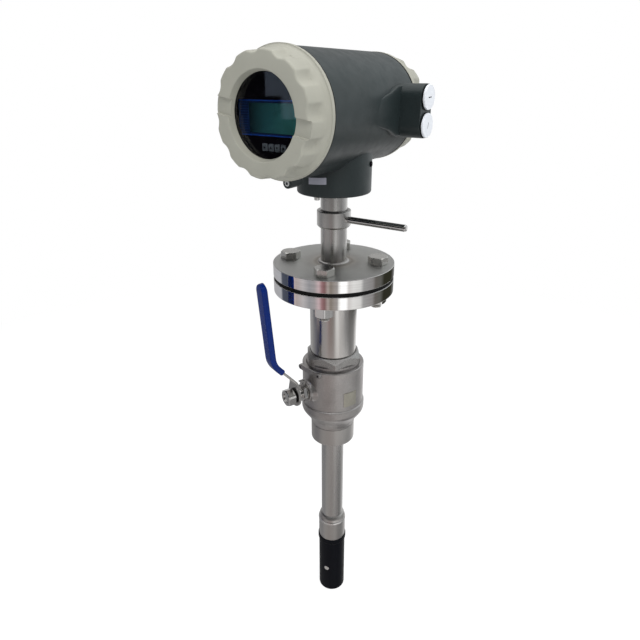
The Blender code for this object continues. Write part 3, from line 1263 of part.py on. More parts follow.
def lever_half_width(rise):
    """Half width of the steel strip: round hub, waist at the bend, narrow in the grip."""
    hub = LEVER_HUB_RADIUS
    if rise < 0:
        return max(math.sqrt(max(hub ** 2 - rise ** 2, 0)), hub * 0.12)
    if rise < LEVER_FIRST_BEND:
        share = rise / LEVER_FIRST_BEND
        return hub + (LEVER_NECK_HALF_WIDTH - hub) * share
    narrow = GRIP_START - GRIP_OVERLAP
    share = min((rise - LEVER_FIRST_BEND) / (narrow - LEVER_FIRST_BEND), 1.0)
    return LEVER_NECK_HALF_WIDTH + (LEVER_GRIP_HALF_WIDTH - LEVER_NECK_HALF_WIDTH) * share


def strip_section(station, half_width, half_thickness, rounding=0.0):
    """Cross-section of a strip at a station, as a rectangle with cut corners if asked."""
    rise, reach, tilt = station
    across = Vector((0, 1, 0))
    through = Vector((-math.sin(tilt), 0, math.cos(tilt)))
    centre = Vector((rise, 0, reach))
    if not rounding:
        corners = ((-1, -1), (1, -1), (1, 1), (-1, 1))
        return [centre + across * half_width * a + through * half_thickness * b
                for a, b in corners]
    w, t, r = half_width, half_thickness, rounding
    corners = ((-w + r, -t), (w - r, -t), (w, -t + r), (w, t - r),
               (w - r, t), (-w + r, t), (-w, t - r), (-w, -t + r))
    return [centre + across * a + through * b for a, b in corners]


def build_lever(stem):
    """Folded steel lever with its dipped grip, spring washer and nut."""
    path = lever_path()
    half = LEVER_THICKNESS / 2
    lever = loft("lever", [strip_section(s, lever_half_width(s[0]), half) for s in path],
                 stem)
    reach = path[0][1]
    hole = rod("lever_hole", STEM_RADIUS + GAP, reach - LEVER_THICKNESS,
               reach + LEVER_THICKNESS, stem, SEGMENTS_SMALL)
    keep = box("lever_hole_flats",
               (-STEM_RADIUS * 2, -STEM_FLATS_WIDTH / 2 - GAP, reach - LEVER_THICKNESS * 2),
               (STEM_RADIUS * 2, STEM_FLATS_WIDTH / 2 + GAP, reach + LEVER_THICKNESS * 2),
               stem)
    boolean(hole, keep, "INTERSECT")
    boolean(lever, hole)
    material(lever, (0.5, 0.5, 0.5), 1.0, 0.3)
    build_grip(stem, path)
    washer_start = reach + half + GAP
    washer = turned("spring_washer", ring_profile(
        SPRING_WASHER_RADIUS, STEM_RADIUS + GAP, washer_start,
        washer_start + SPRING_WASHER_THICKNESS), stem, SEGMENTS_FINE)
    material(washer, (0.2, 0.15, 0.1), 1.0, 0.4)
    nut_start = washer_start + SPRING_WASHER_THICKNESS + GAP
    nut = hexagon("lever_nut", LEVER_NUT_ACROSS_FLATS, nut_start,
                  nut_start + LEVER_NUT_HEIGHT, stem, -5.0)
    corner = LEVER_NUT_ACROSS_FLATS / 2 / math.cos(math.radians(30))
    crown = turned("lever_nut_crown", [
        (0, nut_start + LEVER_NUT_HEIGHT),
        (LEVER_NUT_ACROSS_FLATS / 2 * 0.95, nut_start + LEVER_NUT_HEIGHT),
        (corner * 1.01, nut_start + LEVER_NUT_HEIGHT * 0.8), (corner * 1.01, nut_start - GAP),
        (0, nut_start - GAP),
    ], stem, SEGMENTS_FINE, False)
    boolean(nut, crown, "INTERSECT")
    hole = rod("lever_nut_hole", STEM_RADIUS + GAP, nut_start - LEVER_NUT_HEIGHT,
               nut_start + 2 * LEVER_NUT_HEIGHT, stem, SEGMENTS_SMALL)
    boolean(nut, hole)
    material(nut, (0.55, 0.54, 0.52), 1.0, 0.25)


def build_grip(stem, path):
    """Vinyl sleeve dipped over the upper part of the lever, closed at its top."""
    start = station_at(path, GRIP_START)
    stations = [start] + [s for s in path if s[0] > GRIP_START]
    half_width = LEVER_GRIP_HALF_WIDTH + GAP + GRIP_WALL
    half_thickness = LEVER_THICKNESS / 2 + GAP + GRIP_WALL
    rounding = GRIP_WALL
    top_rise, top_reach, lean = stations[-1]
    full_top = top_rise + GAP + GRIP_TIP_WALL
    sections = [strip_section(s, half_width, half_thickness, rounding)
                for s in stations[:-1]]
    for drop, share in ((half_width, 1.0), (half_width * 0.5, 0.87), (half_width * 0.15, 0.5),
                        (0.0, 0.2)):
        rise = full_top - drop
        reach = top_reach + (rise - top_rise) * math.tan(lean)
        sections.append(strip_section((rise, reach, lean), half_width * share,
                                      half_thickness, rounding * share))
    grip = loft("lever_grip", sections, stem)
    below = (start[0] - 0.004 * math.cos(start[2]), start[1] - 0.004 * math.sin(start[2]),
             start[2])
    above = (top_rise + GAP, top_reach, lean)
    pocket = loft("grip_pocket", [
        strip_section(s, LEVER_GRIP_HALF_WIDTH + GAP, LEVER_THICKNESS / 2 + GAP)
        for s in [below] + stations[:-1] + [above]
    ], stem)
    boolean(grip, pocket)
    material(grip, (0.006, 0.03, 0.25), 0.0, 0.3)


def station_at(path, rise):
    """Station of the path at one rise, between its own stations."""
    for first, second in zip(path, path[1:]):
        if first[0] <= rise <= second[0]:
            share = (rise - first[0]) / (second[0] - first[0])
            return tuple(a + (b - a) * share for a, b in zip(first, second))
    return path[-1]


def build_base():
    """Weld base, a short pipe under the valve."""
    base = turned("weld_base", ring_profile(
        SLEEVE_RADIUS, SLEEVE_RADIUS - SLEEVE_WALL, 0.0, BASE_HEIGHT - GAP), None,
        SEGMENTS_MEDIUM)
    material(base, (0.5, 0.49, 0.47), 1.0, 0.3)


clear_scene()
PARTS = new_collection("electromagnetic_flow_meter")
CUTTERS = new_collection("cutters")
HEAD_AXIS = axis_empty("head_axis", (0, 0, HEAD_HEIGHT), (90, 0, 0))
REAR_AXIS = axis_empty("rear_axis", (0, 0, HEAD_HEIGHT), (-90, 0, 0))
STEM_AXIS = axis_empty("stem_axis", (0, 0, BALL_HEIGHT), (0, -90, STEM_AZIMUTH + 180))
build_housing(HEAD_AXIS)
build_small_screws()
build_tag()
build_cable_plugs()
build_front_cover(HEAD_AXIS)
build_rear_cover(REAR_AXIS)
build_display(HEAD_AXIS)
build_electronics(HEAD_AXIS)
build_probe()
build_collar()
build_flanges()
build_fasteners()
build_sleeve_and_cap()
build_valve_body(STEM_AXIS)
build_ball_and_seats(STEM_AXIS)
build_stem(STEM_AXIS)
build_lever(STEM_AXIS)
build_base()
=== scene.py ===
"""Looks of the insertion electromagnetic flow meter, in the frame of its CAD model.

Everything is in metres. The probe stands on Z, the display looks along -Y and the cable
entries leave the housing along +X.
"""
from math import atan2, cos, exp, log1p, pi, radians, sin, sqrt, tan

import bmesh
import bpy
from mathutils import Matrix, Vector, noise

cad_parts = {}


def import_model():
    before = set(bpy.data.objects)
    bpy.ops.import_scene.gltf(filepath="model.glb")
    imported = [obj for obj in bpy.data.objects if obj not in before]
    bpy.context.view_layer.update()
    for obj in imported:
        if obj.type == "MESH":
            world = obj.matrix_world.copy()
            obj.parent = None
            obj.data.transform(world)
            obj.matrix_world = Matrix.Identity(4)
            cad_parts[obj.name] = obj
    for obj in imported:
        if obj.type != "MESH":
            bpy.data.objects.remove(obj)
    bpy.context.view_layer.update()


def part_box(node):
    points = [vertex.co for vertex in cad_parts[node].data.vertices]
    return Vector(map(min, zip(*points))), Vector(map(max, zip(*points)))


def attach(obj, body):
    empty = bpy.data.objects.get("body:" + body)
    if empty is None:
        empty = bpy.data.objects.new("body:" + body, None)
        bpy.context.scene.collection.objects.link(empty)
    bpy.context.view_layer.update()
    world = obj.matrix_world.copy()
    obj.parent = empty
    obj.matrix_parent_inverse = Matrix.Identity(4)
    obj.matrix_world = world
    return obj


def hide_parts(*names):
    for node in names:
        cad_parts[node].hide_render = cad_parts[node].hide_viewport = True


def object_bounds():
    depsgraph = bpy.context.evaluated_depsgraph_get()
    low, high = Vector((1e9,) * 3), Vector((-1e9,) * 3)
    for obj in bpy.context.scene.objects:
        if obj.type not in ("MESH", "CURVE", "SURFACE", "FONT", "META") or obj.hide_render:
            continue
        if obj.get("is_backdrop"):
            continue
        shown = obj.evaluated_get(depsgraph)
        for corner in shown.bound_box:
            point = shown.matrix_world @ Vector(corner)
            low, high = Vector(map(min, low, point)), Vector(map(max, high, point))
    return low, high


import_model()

# Facets
STEPS = 128
STEPS_LARGE = 192
STEPS_FINE = 48
FILLET_STEPS = 4


def shift(x=0.0, y=0.0, z=0.0):
    return Matrix.Translation((x, y, z))


def turned(degrees, axis):
    return Matrix.Rotation(radians(degrees), 4, axis)


# Axes of the three turned groups
HEAD_HEIGHT = 0.4347
BALL_HEIGHT = 0.0865
STEM_AZIMUTH = radians(-111.0)
FRONT = shift(z=HEAD_HEIGHT) @ turned(90, "X")
REAR = shift(z=HEAD_HEIGHT) @ turned(-90, "X")
STEM = (shift(z=BALL_HEIGHT) @ Matrix.Rotation(STEM_AZIMUTH + pi, 4, "Z")
        @ turned(-90, "Y"))

# Housing
HOUSING_RADIUS = 0.0616
HOUSING_TAPER = 0.0014
HOUSING_FRONT = 0.0912
HOUSING_REAR = 0.078
CHAMBER_RADIUS = 0.051
SPIGOT_RADIUS = 0.056
SPIGOT_LENGTH = 0.014
NECK_RADIUS = 0.0435
NECK_BOTTOM = 0.346
KEEL_BOTTOM = 0.377
LUG_RADIUS = 0.0055
LUG_HEIGHT = 0.3679
LUG_START = 0.068
LUG_REACH = 0.088
ENTRY_Y = 0.047
ENTRY_SPACING = 0.0286
ENTRY_HEIGHT = HEAD_HEIGHT - 0.001
ENTRY_BOSS_RADIUS = 0.0137
ENTRY_REACH = 0.0878
RAMP_STATIONS = ((-0.014, 0.011, -0.001), (-0.0045, 0.0134, -0.0003),
                 (0.017, 0.019, 0.0008), (0.031, 0.0255, 0.0021),
                 (0.042, 0.0262, 0.0028))

# Covers
COVER_DEPTH = 0.0329
COVER_GAP = 0.0016
RIM_WIDTH = 0.0045
FILLET_LENGTH = 0.009
FRONT_COVER_RADII = (0.0631, 0.0592, 0.0578)
REAR_COVER_RADII = (0.0606, 0.0578, 0.0564)
FRONT_EDGE = 0.0022
LOBE_COUNT = 12
LOBE_PHASE = radians(-10.0)
VALLEY_DEPTH = 0.0028
VALLEY_HALF_WIDTH = 0.0079
VALLEY_SOFTNESS = 0.00035
THREAD_RADIUS = 0.0565
WINDOW_RADIUS = 0.0409
WAIST_RADIUS = 0.039
GLASS_SETBACK = 0.0075
GLASS_RADIUS = 0.0462
SLOT_WIDTH = 0.0165
SLOT_DEPTH = 0.0035
SEAL_BORE = 0.0566

# Probe, flange pair and pipe
PROBE_RADIUS = 0.016
PROBE_BORE = 0.0125
PROBE_HOLE = 0.0163
FLANGE_RADIUS = 0.075
FLANGE_TOP = 0.261
FLANGE_BOTTOM = 0.2249
BOLT_CIRCLE = 0.055
BOLT_DEGREES = 22.3
BOLT_FLATS = 0.022
PIPE_RADIUS = 0.03015
PIPE_BORE = 0.02615
PIPE_HOLE = 0.03045
VALVE_BORE = 0.023
PAD_MIDDLE = 0.0306
PAD_HALF = 0.00365
STEM_HOLE = 0.0063
NUT_FLATS = 0.021

# Lever strip in the plane of the stem and the probe axis
LEVER_REACH = 0.0615
LEVER_THICKNESS = 0.003
LEVER_FIRST_BEND = 0.021
LEVER_SECOND_BEND = 0.0562
LEVER_SLANT = radians(42.4)
LEVER_LEAN = radians(4.6)
LEVER_TOP = 0.1618
LEVER_EYE = 0.0145
LEVER_WAIST = 0.0092
LEVER_TAIL = 0.0058
GRIP_START = 0.0425
LEVER_NARROW = GRIP_START - 0.002
GRIP_WIDTH = 0.0082
GRIP_THICKNESS = 0.0039
GRIP_CORNER = 0.0021

# Camera fitted to the photograph
CAMERA_PLACE = (0.352, -0.5285, 0.4684)
CAMERA_TILT = radians(65.542)
CAMERA_ROLL = radians(0.264)
CAMERA_TURN = radians(35.107)
CAMERA_LENS = 30.07
CAMERA_AZIMUTH = radians(-56.33)

# Tones of the backdrop by angle from the camera's side, as they show in upright cylinders
HEAD_BANDS = {-180: 0.44, -150: 0.4, -100: (0.06, 0.06, 0.07), -80: (0.01, 0.01, 0.014),
    -50: (0.01, 0.01, 0.014), -38: 0.06, -20: 0.14, -8: 0.05, 30: 0.06, 42: 0.24, 56: 0.16,
    86: (0.58, 0.6, 0.61), 104: (0.68, 0.71, 0.72), 148: (0.68, 0.71, 0.72), 165: 0.5,
    180: 0.44}
ROD_BANDS = {-180: 0.5, -144: 0.66, -115: 0.42, -95: 0.36, -79: 0.42, -55: (0.52, 0.51, 0.5),
    -32: (0.38, 0.37, 0.36), -12: (0.33, 0.32, 0.31), -4: (0.5, 0.5, 0.49),
    6: (0.74, 0.74, 0.73), 18: (0.76, 0.75, 0.74), 30: (0.5, 0.5, 0.49), 48: 0.36, 80: 0.34,
    104: 0.5, 130: 0.85, 144: 1.0, 162: 0.95, 180: 0.5}
FLANGE_BANDS = {-180: (0.4, 0.4, 0.41), -140: (0.42, 0.42, 0.44), -117: (0.42, 0.43, 0.46),
    -111: (0.08, 0.09, 0.12), -95: (0.06, 0.07, 0.1), -88: (0.3, 0.29, 0.31),
    -83: (0.68, 0.56, 0.55), -73: (0.44, 0.38, 0.37), -58: (0.5, 0.48, 0.49),
    -45: (0.32, 0.32, 0.34), -35: (0.36, 0.34, 0.35), -27: (0.58, 0.45, 0.47),
    -21: (0.32, 0.18, 0.19), -16: (0.22, 0.12, 0.12), -10: (0.42, 0.36, 0.34),
    -5: (0.24, 0.21, 0.18), 2: (0.34, 0.31, 0.29), 7: (0.36, 0.34, 0.33),
    10: (0.85, 0.85, 0.84), 14: 1.2, 23: 1.2, 28: (0.68, 0.66, 0.65), 37: (0.8, 0.8, 0.79),
    51: (0.72, 0.72, 0.71), 57: 0.36, 77: (0.28, 0.27, 0.27), 84: (0.14, 0.13, 0.12),
    98: (0.12, 0.12, 0.11), 108: (0.03, 0.03, 0.02), 138: (0.03, 0.03, 0.02),
    180: (0.4, 0.4, 0.41)}
SLEEVE_BANDS = {-180: 0.45, -150: 0.46, -126: 0.4, -104: (0.28, 0.28, 0.3),
    -90: (0.18, 0.18, 0.22), -84: (0.05, 0.06, 0.09), -74: (0.05, 0.06, 0.09), -68: 0.36,
    -50: (0.44, 0.42, 0.41), -36: (0.45, 0.42, 0.41), -22: (0.38, 0.33, 0.31),
    -6: (0.32, 0.27, 0.26), 4: (0.34, 0.31, 0.3), 10: (0.62, 0.61, 0.6), 17: (0.88, 0.87, 0.86),
    27: (0.97, 0.96, 0.95), 34: (0.66, 0.65, 0.64), 48: (0.5, 0.49, 0.48), 57: 0.38, 64: 0.26,
    92: 0.24, 112: 0.3, 126: 0.42, 137: 0.85, 144: 1.0, 162: 1.0, 170: 0.55, 180: 0.45}
VALVE_BANDS = {-180: 0.42, -126: 0.3, -98: (0.14, 0.14, 0.15), -78: (0.08, 0.08, 0.1),
    -60: (0.26, 0.25, 0.25), -36: (0.48, 0.46, 0.45), 0: (0.6, 0.56, 0.55),
    18: (0.64, 0.61, 0.6), 34: (0.74, 0.72, 0.71), 50: (0.98, 0.97, 0.96),
    74: (1.05, 1.05, 1.04), 90: 0.5, 112: 0.42, 132: 0.75, 144: 1.0, 162: 1.0, 180: 0.42}
BASE_BANDS = {-180: 0.36, -144: 0.34, -95: (0.3, 0.3, 0.31), -64: (0.42, 0.41, 0.4),
    -37: (0.38, 0.36, 0.35), 0: (0.34, 0.32, 0.31), 24: (0.42, 0.41, 0.4),
    44: (0.28, 0.27, 0.27), 79: 0.18, 112: 0.4, 136: 0.8, 165: 0.8, 180: 0.36}
# Height of the curtain below which each set of bands gives way to the next
CURTAIN_ZONES = ((-0.12, ROD_BANDS), (-0.53, FLANGE_BANDS), (-0.905, SLEEVE_BANDS),
                 (-1.22, VALVE_BANDS), (-1.68, BASE_BANDS))
ZONE_BLEND = 0.02
# A pale window far off, in two steps, that the glass of the display mirrors
WINDOW_PANES = ((-70.6, -66.0, 0.27, 0.62), (-72.4, -70.6, 0.38, 0.5))
WINDOW_LIGHT = (0.34, 0.4, 0.52)
FLOOR_GLOW = 0.8
FLOOR_HALF = 9.0
CURTAIN_RADIUS = 2.5
CURTAIN_HEIGHTS = (-12.0, 3.0)


def to_mesh(name, bm):
    """Mesh of a bmesh, which is freed."""
    mesh = bpy.data.meshes.new(name)
    bm.to_mesh(mesh)
    bm.free()
    return mesh


def linked(name, data):
    """New object in the scene."""
    obj = bpy.data.objects.new(name, data)
    bpy.context.scene.collection.objects.link(obj)
    return obj


def shade_smooth(mesh, sharp):
    """Smooth faces, apart from edges sharper than an angle in degrees."""
    mesh.polygons.foreach_set("use_smooth", [True] * len(mesh.polygons))
    mesh.set_sharp_from_angle(angle=radians(sharp))


def make(name, bm, material, body="meter", node=None, place=None, flat_walls=True):
    """Turn a bmesh into a piece that rides on a CAD body and may stand for a CAD node.

    Flat walls keep their own normals beside small rounded corners.
    """
    if place is not None:
        bm.transform(place)
    bmesh.ops.recalc_face_normals(bm, faces=bm.faces)
    mesh = to_mesh(name, bm)
    shade_smooth(mesh, 30)
    mesh.materials.append(material)
    obj = linked(name, mesh)
    if flat_walls:
        obj.modifiers.new("Flat walls", "WEIGHTED_NORMAL").keep_sharp = True
    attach(obj, body)
    if node:
        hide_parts(node)
    return obj


def softened(points, ring=False):
    """Profile with rounded corners: a point's third value is its corner's radius."""
    result = []
    count = len(points)
    for i, point in enumerate(points):
        radius = point[2] if len(point) > 2 else 0.0
        if not radius or (not ring and i in (0, count - 1)):
            result.append(tuple(point[:2]))
            continue
        corner = Vector(point[:2])
        before = Vector(points[i - 1][:2]) - corner
        after = Vector(points[(i + 1) % count][:2]) - corner
        half = before.angle(after) / 2
        reach = min(radius / tan(half), before.length * 0.48, after.length * 0.48)
        radius = reach * tan(half)
        before.normalize()
        after.normalize()
        centre = corner + (before + after).normalized() * radius / sin(half)
        first = corner + before * reach - centre
        last = corner + after * reach - centre
        start = atan2(first.y, first.x)
        sweep = atan2(last.y, last.x) - start
        sweep = (sweep + pi) % (2 * pi) - pi
        for k in range(FILLET_STEPS + 1):
            angle = start + sweep * k / FILLET_STEPS
            result.append((centre.x + radius * cos(angle),
                           centre.y + radius * sin(angle)))
    return result


def skin(bm, first, second):
    """Faces between two rings of vertices, where one of them may be a single point."""
    count = max(len(first), len(second))
    for k in range(count):
        j = (k + 1) % count
        corners = [first[k % len(first)], first[j % len(first)],
                   second[j % len(second)], second[k % len(second)]]
        corners = list(dict.fromkeys(corners))
        if len(corners) > 2:
            bm.faces.new(corners)


def polar(radius, angle, z=0.0):
    """Point at a distance and an angle round Z."""
    return (radius * cos(angle), radius * sin(angle), z)


def around(steps, spot, turn=0.0):
    """Row of points round Z, where spot gives the radius and height at an angle."""
    row = []
    for k in range(steps):
        angle = 2 * pi * k / steps
        r, z = spot(angle)
        row.append(polar(r, angle + turn, z))
    return row


def surface(rows, closed):
    """Skin through rows of points, and from the last row to the first if closed."""
    bm = bmesh.new()
    rings = [[bm.verts.new(p) for p in row] for row in rows]
    for first, second in zip(rings, rings[1:]):
        skin(bm, first, second)
    if closed:
        skin(bm, rings[-1], rings[0])
    return bm


def band(inner, outer, first, last, corner=0.0004):
    """Profile of a plain ring between two heights, with rounded outer edges."""
    return [(inner, first), (outer, first, corner), (outer, last, corner), (inner, last)]


def revolve(points, steps=STEPS):
    """Turn a profile of (radius, height) points, with optional corner radii, about Z.

    A profile that starts on the axis is open, and any other one is closed.
    """
    ring = points[0][0] > 0
    return surface([[(0, 0, z)] if r < 1e-6 else around(steps, lambda angle: (r, z))
                    for r, z in softened(points, ring)], ring)


def lathe(name, node, material, points, place=None, body="meter", steps=STEPS):
    """Turned piece, in place of a CAD node if one is named."""
    return make(name, revolve(points, steps), material, body, node, place)


def loft(rows):
    """Closed solid through rows of as many points."""
    bm = surface(rows, False)
    bm.verts.ensure_lookup_table()
    count = len(rows[0])
    bm.faces.new(list(reversed(bm.verts[:count])))
    bm.faces.new(bm.verts[len(bm.verts) - count:])
    bmesh.ops.recalc_face_normals(bm, faces=bm.faces)
    return bm


def prism(outline, low, high):
    """Straight solid over an outline of (x, y) points."""
    return loft([[(x, y, z) for x, y in outline] for z in (low, high)])


def block(low, high):
    """Box between two corners."""
    return prism([(low[0], low[1]), (high[0], low[1]), (high[0], high[1]),
                  (low[0], high[1])], low[2], high[2])


def bevelled(bm, width, segments=3, angle=30.0):
    """Round the edges that are sharper than an angle in degrees."""
    edges = [e for e in bm.edges
             if len(e.link_faces) == 2 and e.calc_face_angle() > radians(angle)]
    bmesh.ops.bevel(bm, geom=edges, offset=width, segments=segments, profile=0.5,
                    affect="EDGES", clamp_overlap=True)
    return bm


def merge(target, source):
    """Add the faces of one bmesh to another."""
    mesh = to_mesh("merge", source)
    target.from_mesh(mesh)
    bpy.data.meshes.remove(mesh)
    return target


def arc(centre, radius, first, last, steps):
    """Points of an arc between two angles in degrees."""
    return [(centre[0] + radius * cos(radians(first + (last - first) * i / steps)),
             centre[1] + radius * sin(radians(first + (last - first) * i / steps)))
            for i in range(steps + 1)]


def oblong(x, upper, lower, radius, steps):
    """Outline with a round end above one centre and below another."""
    return (arc((x, upper), radius, 0, 180, steps)
            + arc((x, lower), radius, 180, 360, steps))


def hexagon(across_flats, low, high, chamfer=0.95, bore=0.0, turn=0.0, both=False,
            crown=tan(radians(30))):
    """Hexagonal head or nut with chamfered corners, and a bore if asked."""
    flat = across_flats / 2
    corner = flat / cos(pi / 6)
    inner = bore or flat * 0.3

    def row(radius, height, slope=0.0):
        """Ring at a radius, or along the flats and corners if there is none."""
        def spot(angle):
            local = pi / 6 - abs((angle + pi / 6) % (pi / 3) - pi / 6)
            edge = min(flat / cos(local), corner * 0.985)
            return radius or edge, height + slope * (edge - flat * chamfer)
        return around(96, spot, turn)

    rows = [row(inner, high), row(flat * chamfer, high), row(None, high, -crown)]
    rows += [row(None, low, crown), row(flat * chamfer, low)] if both else [row(None, low)]
    rows.append(row(inner, low))
    return surface(rows, True) if bore else loft(rows)


def threads(radius, low, high, pitch=0.0016):
    """Profile of a threaded rod, as rings at the thread's pitch."""
    points = [(0, high), (radius - pitch * 0.6, high)]
    count = int((high - low) / pitch)
    for i in range(count):
        z = high - pitch * (i + 0.3)
        points += [(radius, z), (radius - pitch * 0.45, z - pitch * 0.5)]
    return points + [(radius - pitch * 0.5, low), (0, low)]


def rgb(colour):
    """Three numbers, also where a single one stands for a grey."""
    return colour if isinstance(colour, tuple) else (colour,) * 3


class Nodes:
    """Short calls to add nodes to a tree. An input is a number, a colour or an output."""

    def __init__(self, tree):
        self.tree = tree

    def feed(self, socket, value):
        """Set or link one input."""
        if isinstance(value, bpy.types.NodeSocket):
            self.tree.links.new(value, socket)
        elif socket.type == "RGBA":
            socket.default_value = (*rgb(value), 1)
        else:
            socket.default_value = value

    def add(self, kind, inputs=(), **properties):
        node = self.tree.nodes.new(kind)
        for key, value in properties.items():
            setattr(node, key, value)
        for key, value in dict(inputs).items():
            self.feed(node.inputs[key], value)
        return node

    def ramp(self, value, stops):
        node = self.add("ShaderNodeValToRGB", {"Fac": value})
        elements = node.color_ramp.elements
        while len(elements) < len(stops):
            elements.new(0.5)
        for element, (place, colour) in zip(elements, stops):
            element.position = place
            element.color = (*rgb(colour), 1)
        return node.outputs["Color"]

    def remap(self, value, low, high, new_low=0.0, new_high=1.0):
        return self.add("ShaderNodeMapRange", {
            "Value": value, "From Min": low, "From Max": high, "To Min": new_low,
            "To Max": new_high}).outputs["Result"]

    def math(self, operation, *values):
        node = self.add("ShaderNodeMath", enumerate(values), operation=operation)
        return node.outputs["Value"]

    def mix(self, factor, first, second, blend="MIX"):
        return self.add("ShaderNodeMix", {0: factor, 6: first, 7: second},
                        data_type="RGBA", blend_type=blend).outputs[2]

    def mix_shaders(self, factor, first, second):
        values = (factor, first.outputs[0], second.outputs[0])
        return self.add("ShaderNodeMixShader", enumerate(values))

    def seen(self):
        """1 for rays that show a surface as it is, 0 for those that light the object."""
        rays = self.add("ShaderNodeLightPath").outputs
        return self.math("MAXIMUM", rays["Is Camera Ray"], self.math(
            "MAXIMUM", rays["Is Glossy Ray"], rays["Is Transmission Ray"]))


class Surface(Nodes):
    """A material with a Principled shader, whose patterns lie in object coordinates."""

    def __init__(self, name, colour, roughness, metallic=0.0, **sockets):
        self.material = bpy.data.materials.new(name)
        self.material.use_nodes = True
        super().__init__(self.material.node_tree)
        self.shader = self.tree.nodes["Principled BSDF"]
        for socket, value in (("Base Color", colour), ("Roughness", roughness),
                              ("Metallic", metallic), *sockets.items()):
            self.feed(self.shader.inputs[socket.replace("_", " ")], value)
        self.coords = self.add("ShaderNodeTexCoord").outputs["Object"]

    def place(self, **mapping):
        """Object coordinates, scaled or turned."""
        node = self.add("ShaderNodeMapping", {"Vector": self.coords, **mapping})
        return node.outputs["Vector"]

    def axes(self):
        """The three object coordinates."""
        return self.add("ShaderNodeSeparateXYZ", {0: self.coords}).outputs

    def reach(self):
        """Distance from the Z axis."""
        x, y, _ = self.axes()
        return self.math("SQRT", self.math("ADD", self.math("POWER", x, 2.0),
                                           self.math("POWER", y, 2.0)))

    def noise(self, scale, detail=3.0, stretch=(1, 1, 1)):
        return self.add("ShaderNodeTexNoise", {
            "Vector": self.place(Scale=stretch), "Scale": scale, "Detail": detail,
            "Roughness": 0.55}).outputs["Fac"]

    def cells(self, scale, joint, first, second, joints):
        """Square cells on an upright face, in two colours and that of their joints."""
        return self.add("ShaderNodeTexBrick", {
            "Vector": self.place(Rotation=(pi / 2, 0, 0)), "Scale": scale,
            "Mortar Size": joint, "Brick Width": 1.0, "Row Height": 1.0, "Color1": first,
            "Color2": second, "Mortar": joints}, offset=0.0).outputs["Color"]

    def tones(self, value, colour, dark, light, low=0.3, high=0.7):
        """The colour, from a darker to a lighter tone of it."""
        return self.ramp(value, [(low, shade(colour, dark)), (high, shade(colour, light))])

    def base(self, colour):
        self.feed(self.shader.inputs["Base Color"], colour)

    def rough(self, value):
        self.feed(self.shader.inputs["Roughness"], value)

    def bump(self, height, distance, strength):
        node = self.add("ShaderNodeBump", {"Height": height, "Distance": distance,
                                           "Strength": strength})
        self.feed(self.shader.inputs["Normal"], node.outputs["Normal"])

    def show(self, shader):
        """Take another shader for the surface."""
        self.feed(self.tree.nodes["Material Output"].inputs["Surface"], shader.outputs[0])


def shade(colour, factor):
    """Lighter or darker tone of a colour."""
    return tuple(min(c * factor, 1.0) for c in rgb(colour))


def painted(name, colour, roughness, spread=0.08):
    """Paint over a casting: faint blotches, an orange-peel surface and uneven gloss."""
    n = Surface(name, colour, roughness, Specular_IOR_Level=0.5)
    n.base(n.tones(n.noise(28.0, 4.0), colour, 1 - spread, 1 + spread))
    n.rough(n.remap(n.noise(90.0), 0.3, 0.7, roughness - 0.06, roughness + 0.06))
    n.bump(n.noise(1400.0, 2.0), 0.00012, 0.35)
    return n.material


def turned_metal(name, colour, roughness, grain=900.0, spread=0.07):
    """Turned or ground steel: fine marks round the Z axis and soft stains along it."""
    n = Surface(name, colour, roughness, 1.0)
    marks = n.noise(grain, 2.0, (0.02, 0.02, 1.0))
    streaks = n.noise(120.0, 3.0, (1.0, 1.0, 0.05))
    n.base(n.tones(streaks, colour, 1 - spread, 1 + spread, 0.25, 0.75))
    n.rough(n.remap(streaks, 0.25, 0.75, roughness - 0.05, roughness + 0.07))
    n.bump(marks, 0.00004, 0.25)
    return n.material


def blasted_metal(name, colour, roughness):
    """Blasted casting: grainy and matt, a little darker in blotches."""
    n = Surface(name, colour, roughness, 1.0)
    tone = n.tones(n.noise(45.0, 5.0), colour, 0.86, 1.1)
    fine = n.noise(700.0)
    speck = n.ramp(fine, [(0.3, 0.84), (0.65, 1.0)])
    n.base(n.mix(1.0, tone, speck, "MULTIPLY"))
    n.rough(n.remap(fine, 0.3, 0.7, roughness - 0.06, roughness + 0.08))
    n.bump(fine, 0.00022, 0.5)
    return n.material


def moulded(name, colour, roughness, spread=0.06, gloss=0.5):
    """Plastic or rubber with a fine moulded grain."""
    n = Surface(name, colour, roughness, Specular_IOR_Level=gloss)
    n.base(n.tones(n.noise(60.0), colour, 1 - spread, 1 + spread))
    n.rough(n.remap(n.noise(200.0, 2.0), 0.3, 0.7, roughness - 0.05, roughness + 0.06))
    n.bump(n.noise(1100.0, 2.0), 0.00008, 0.3)
    return n.material


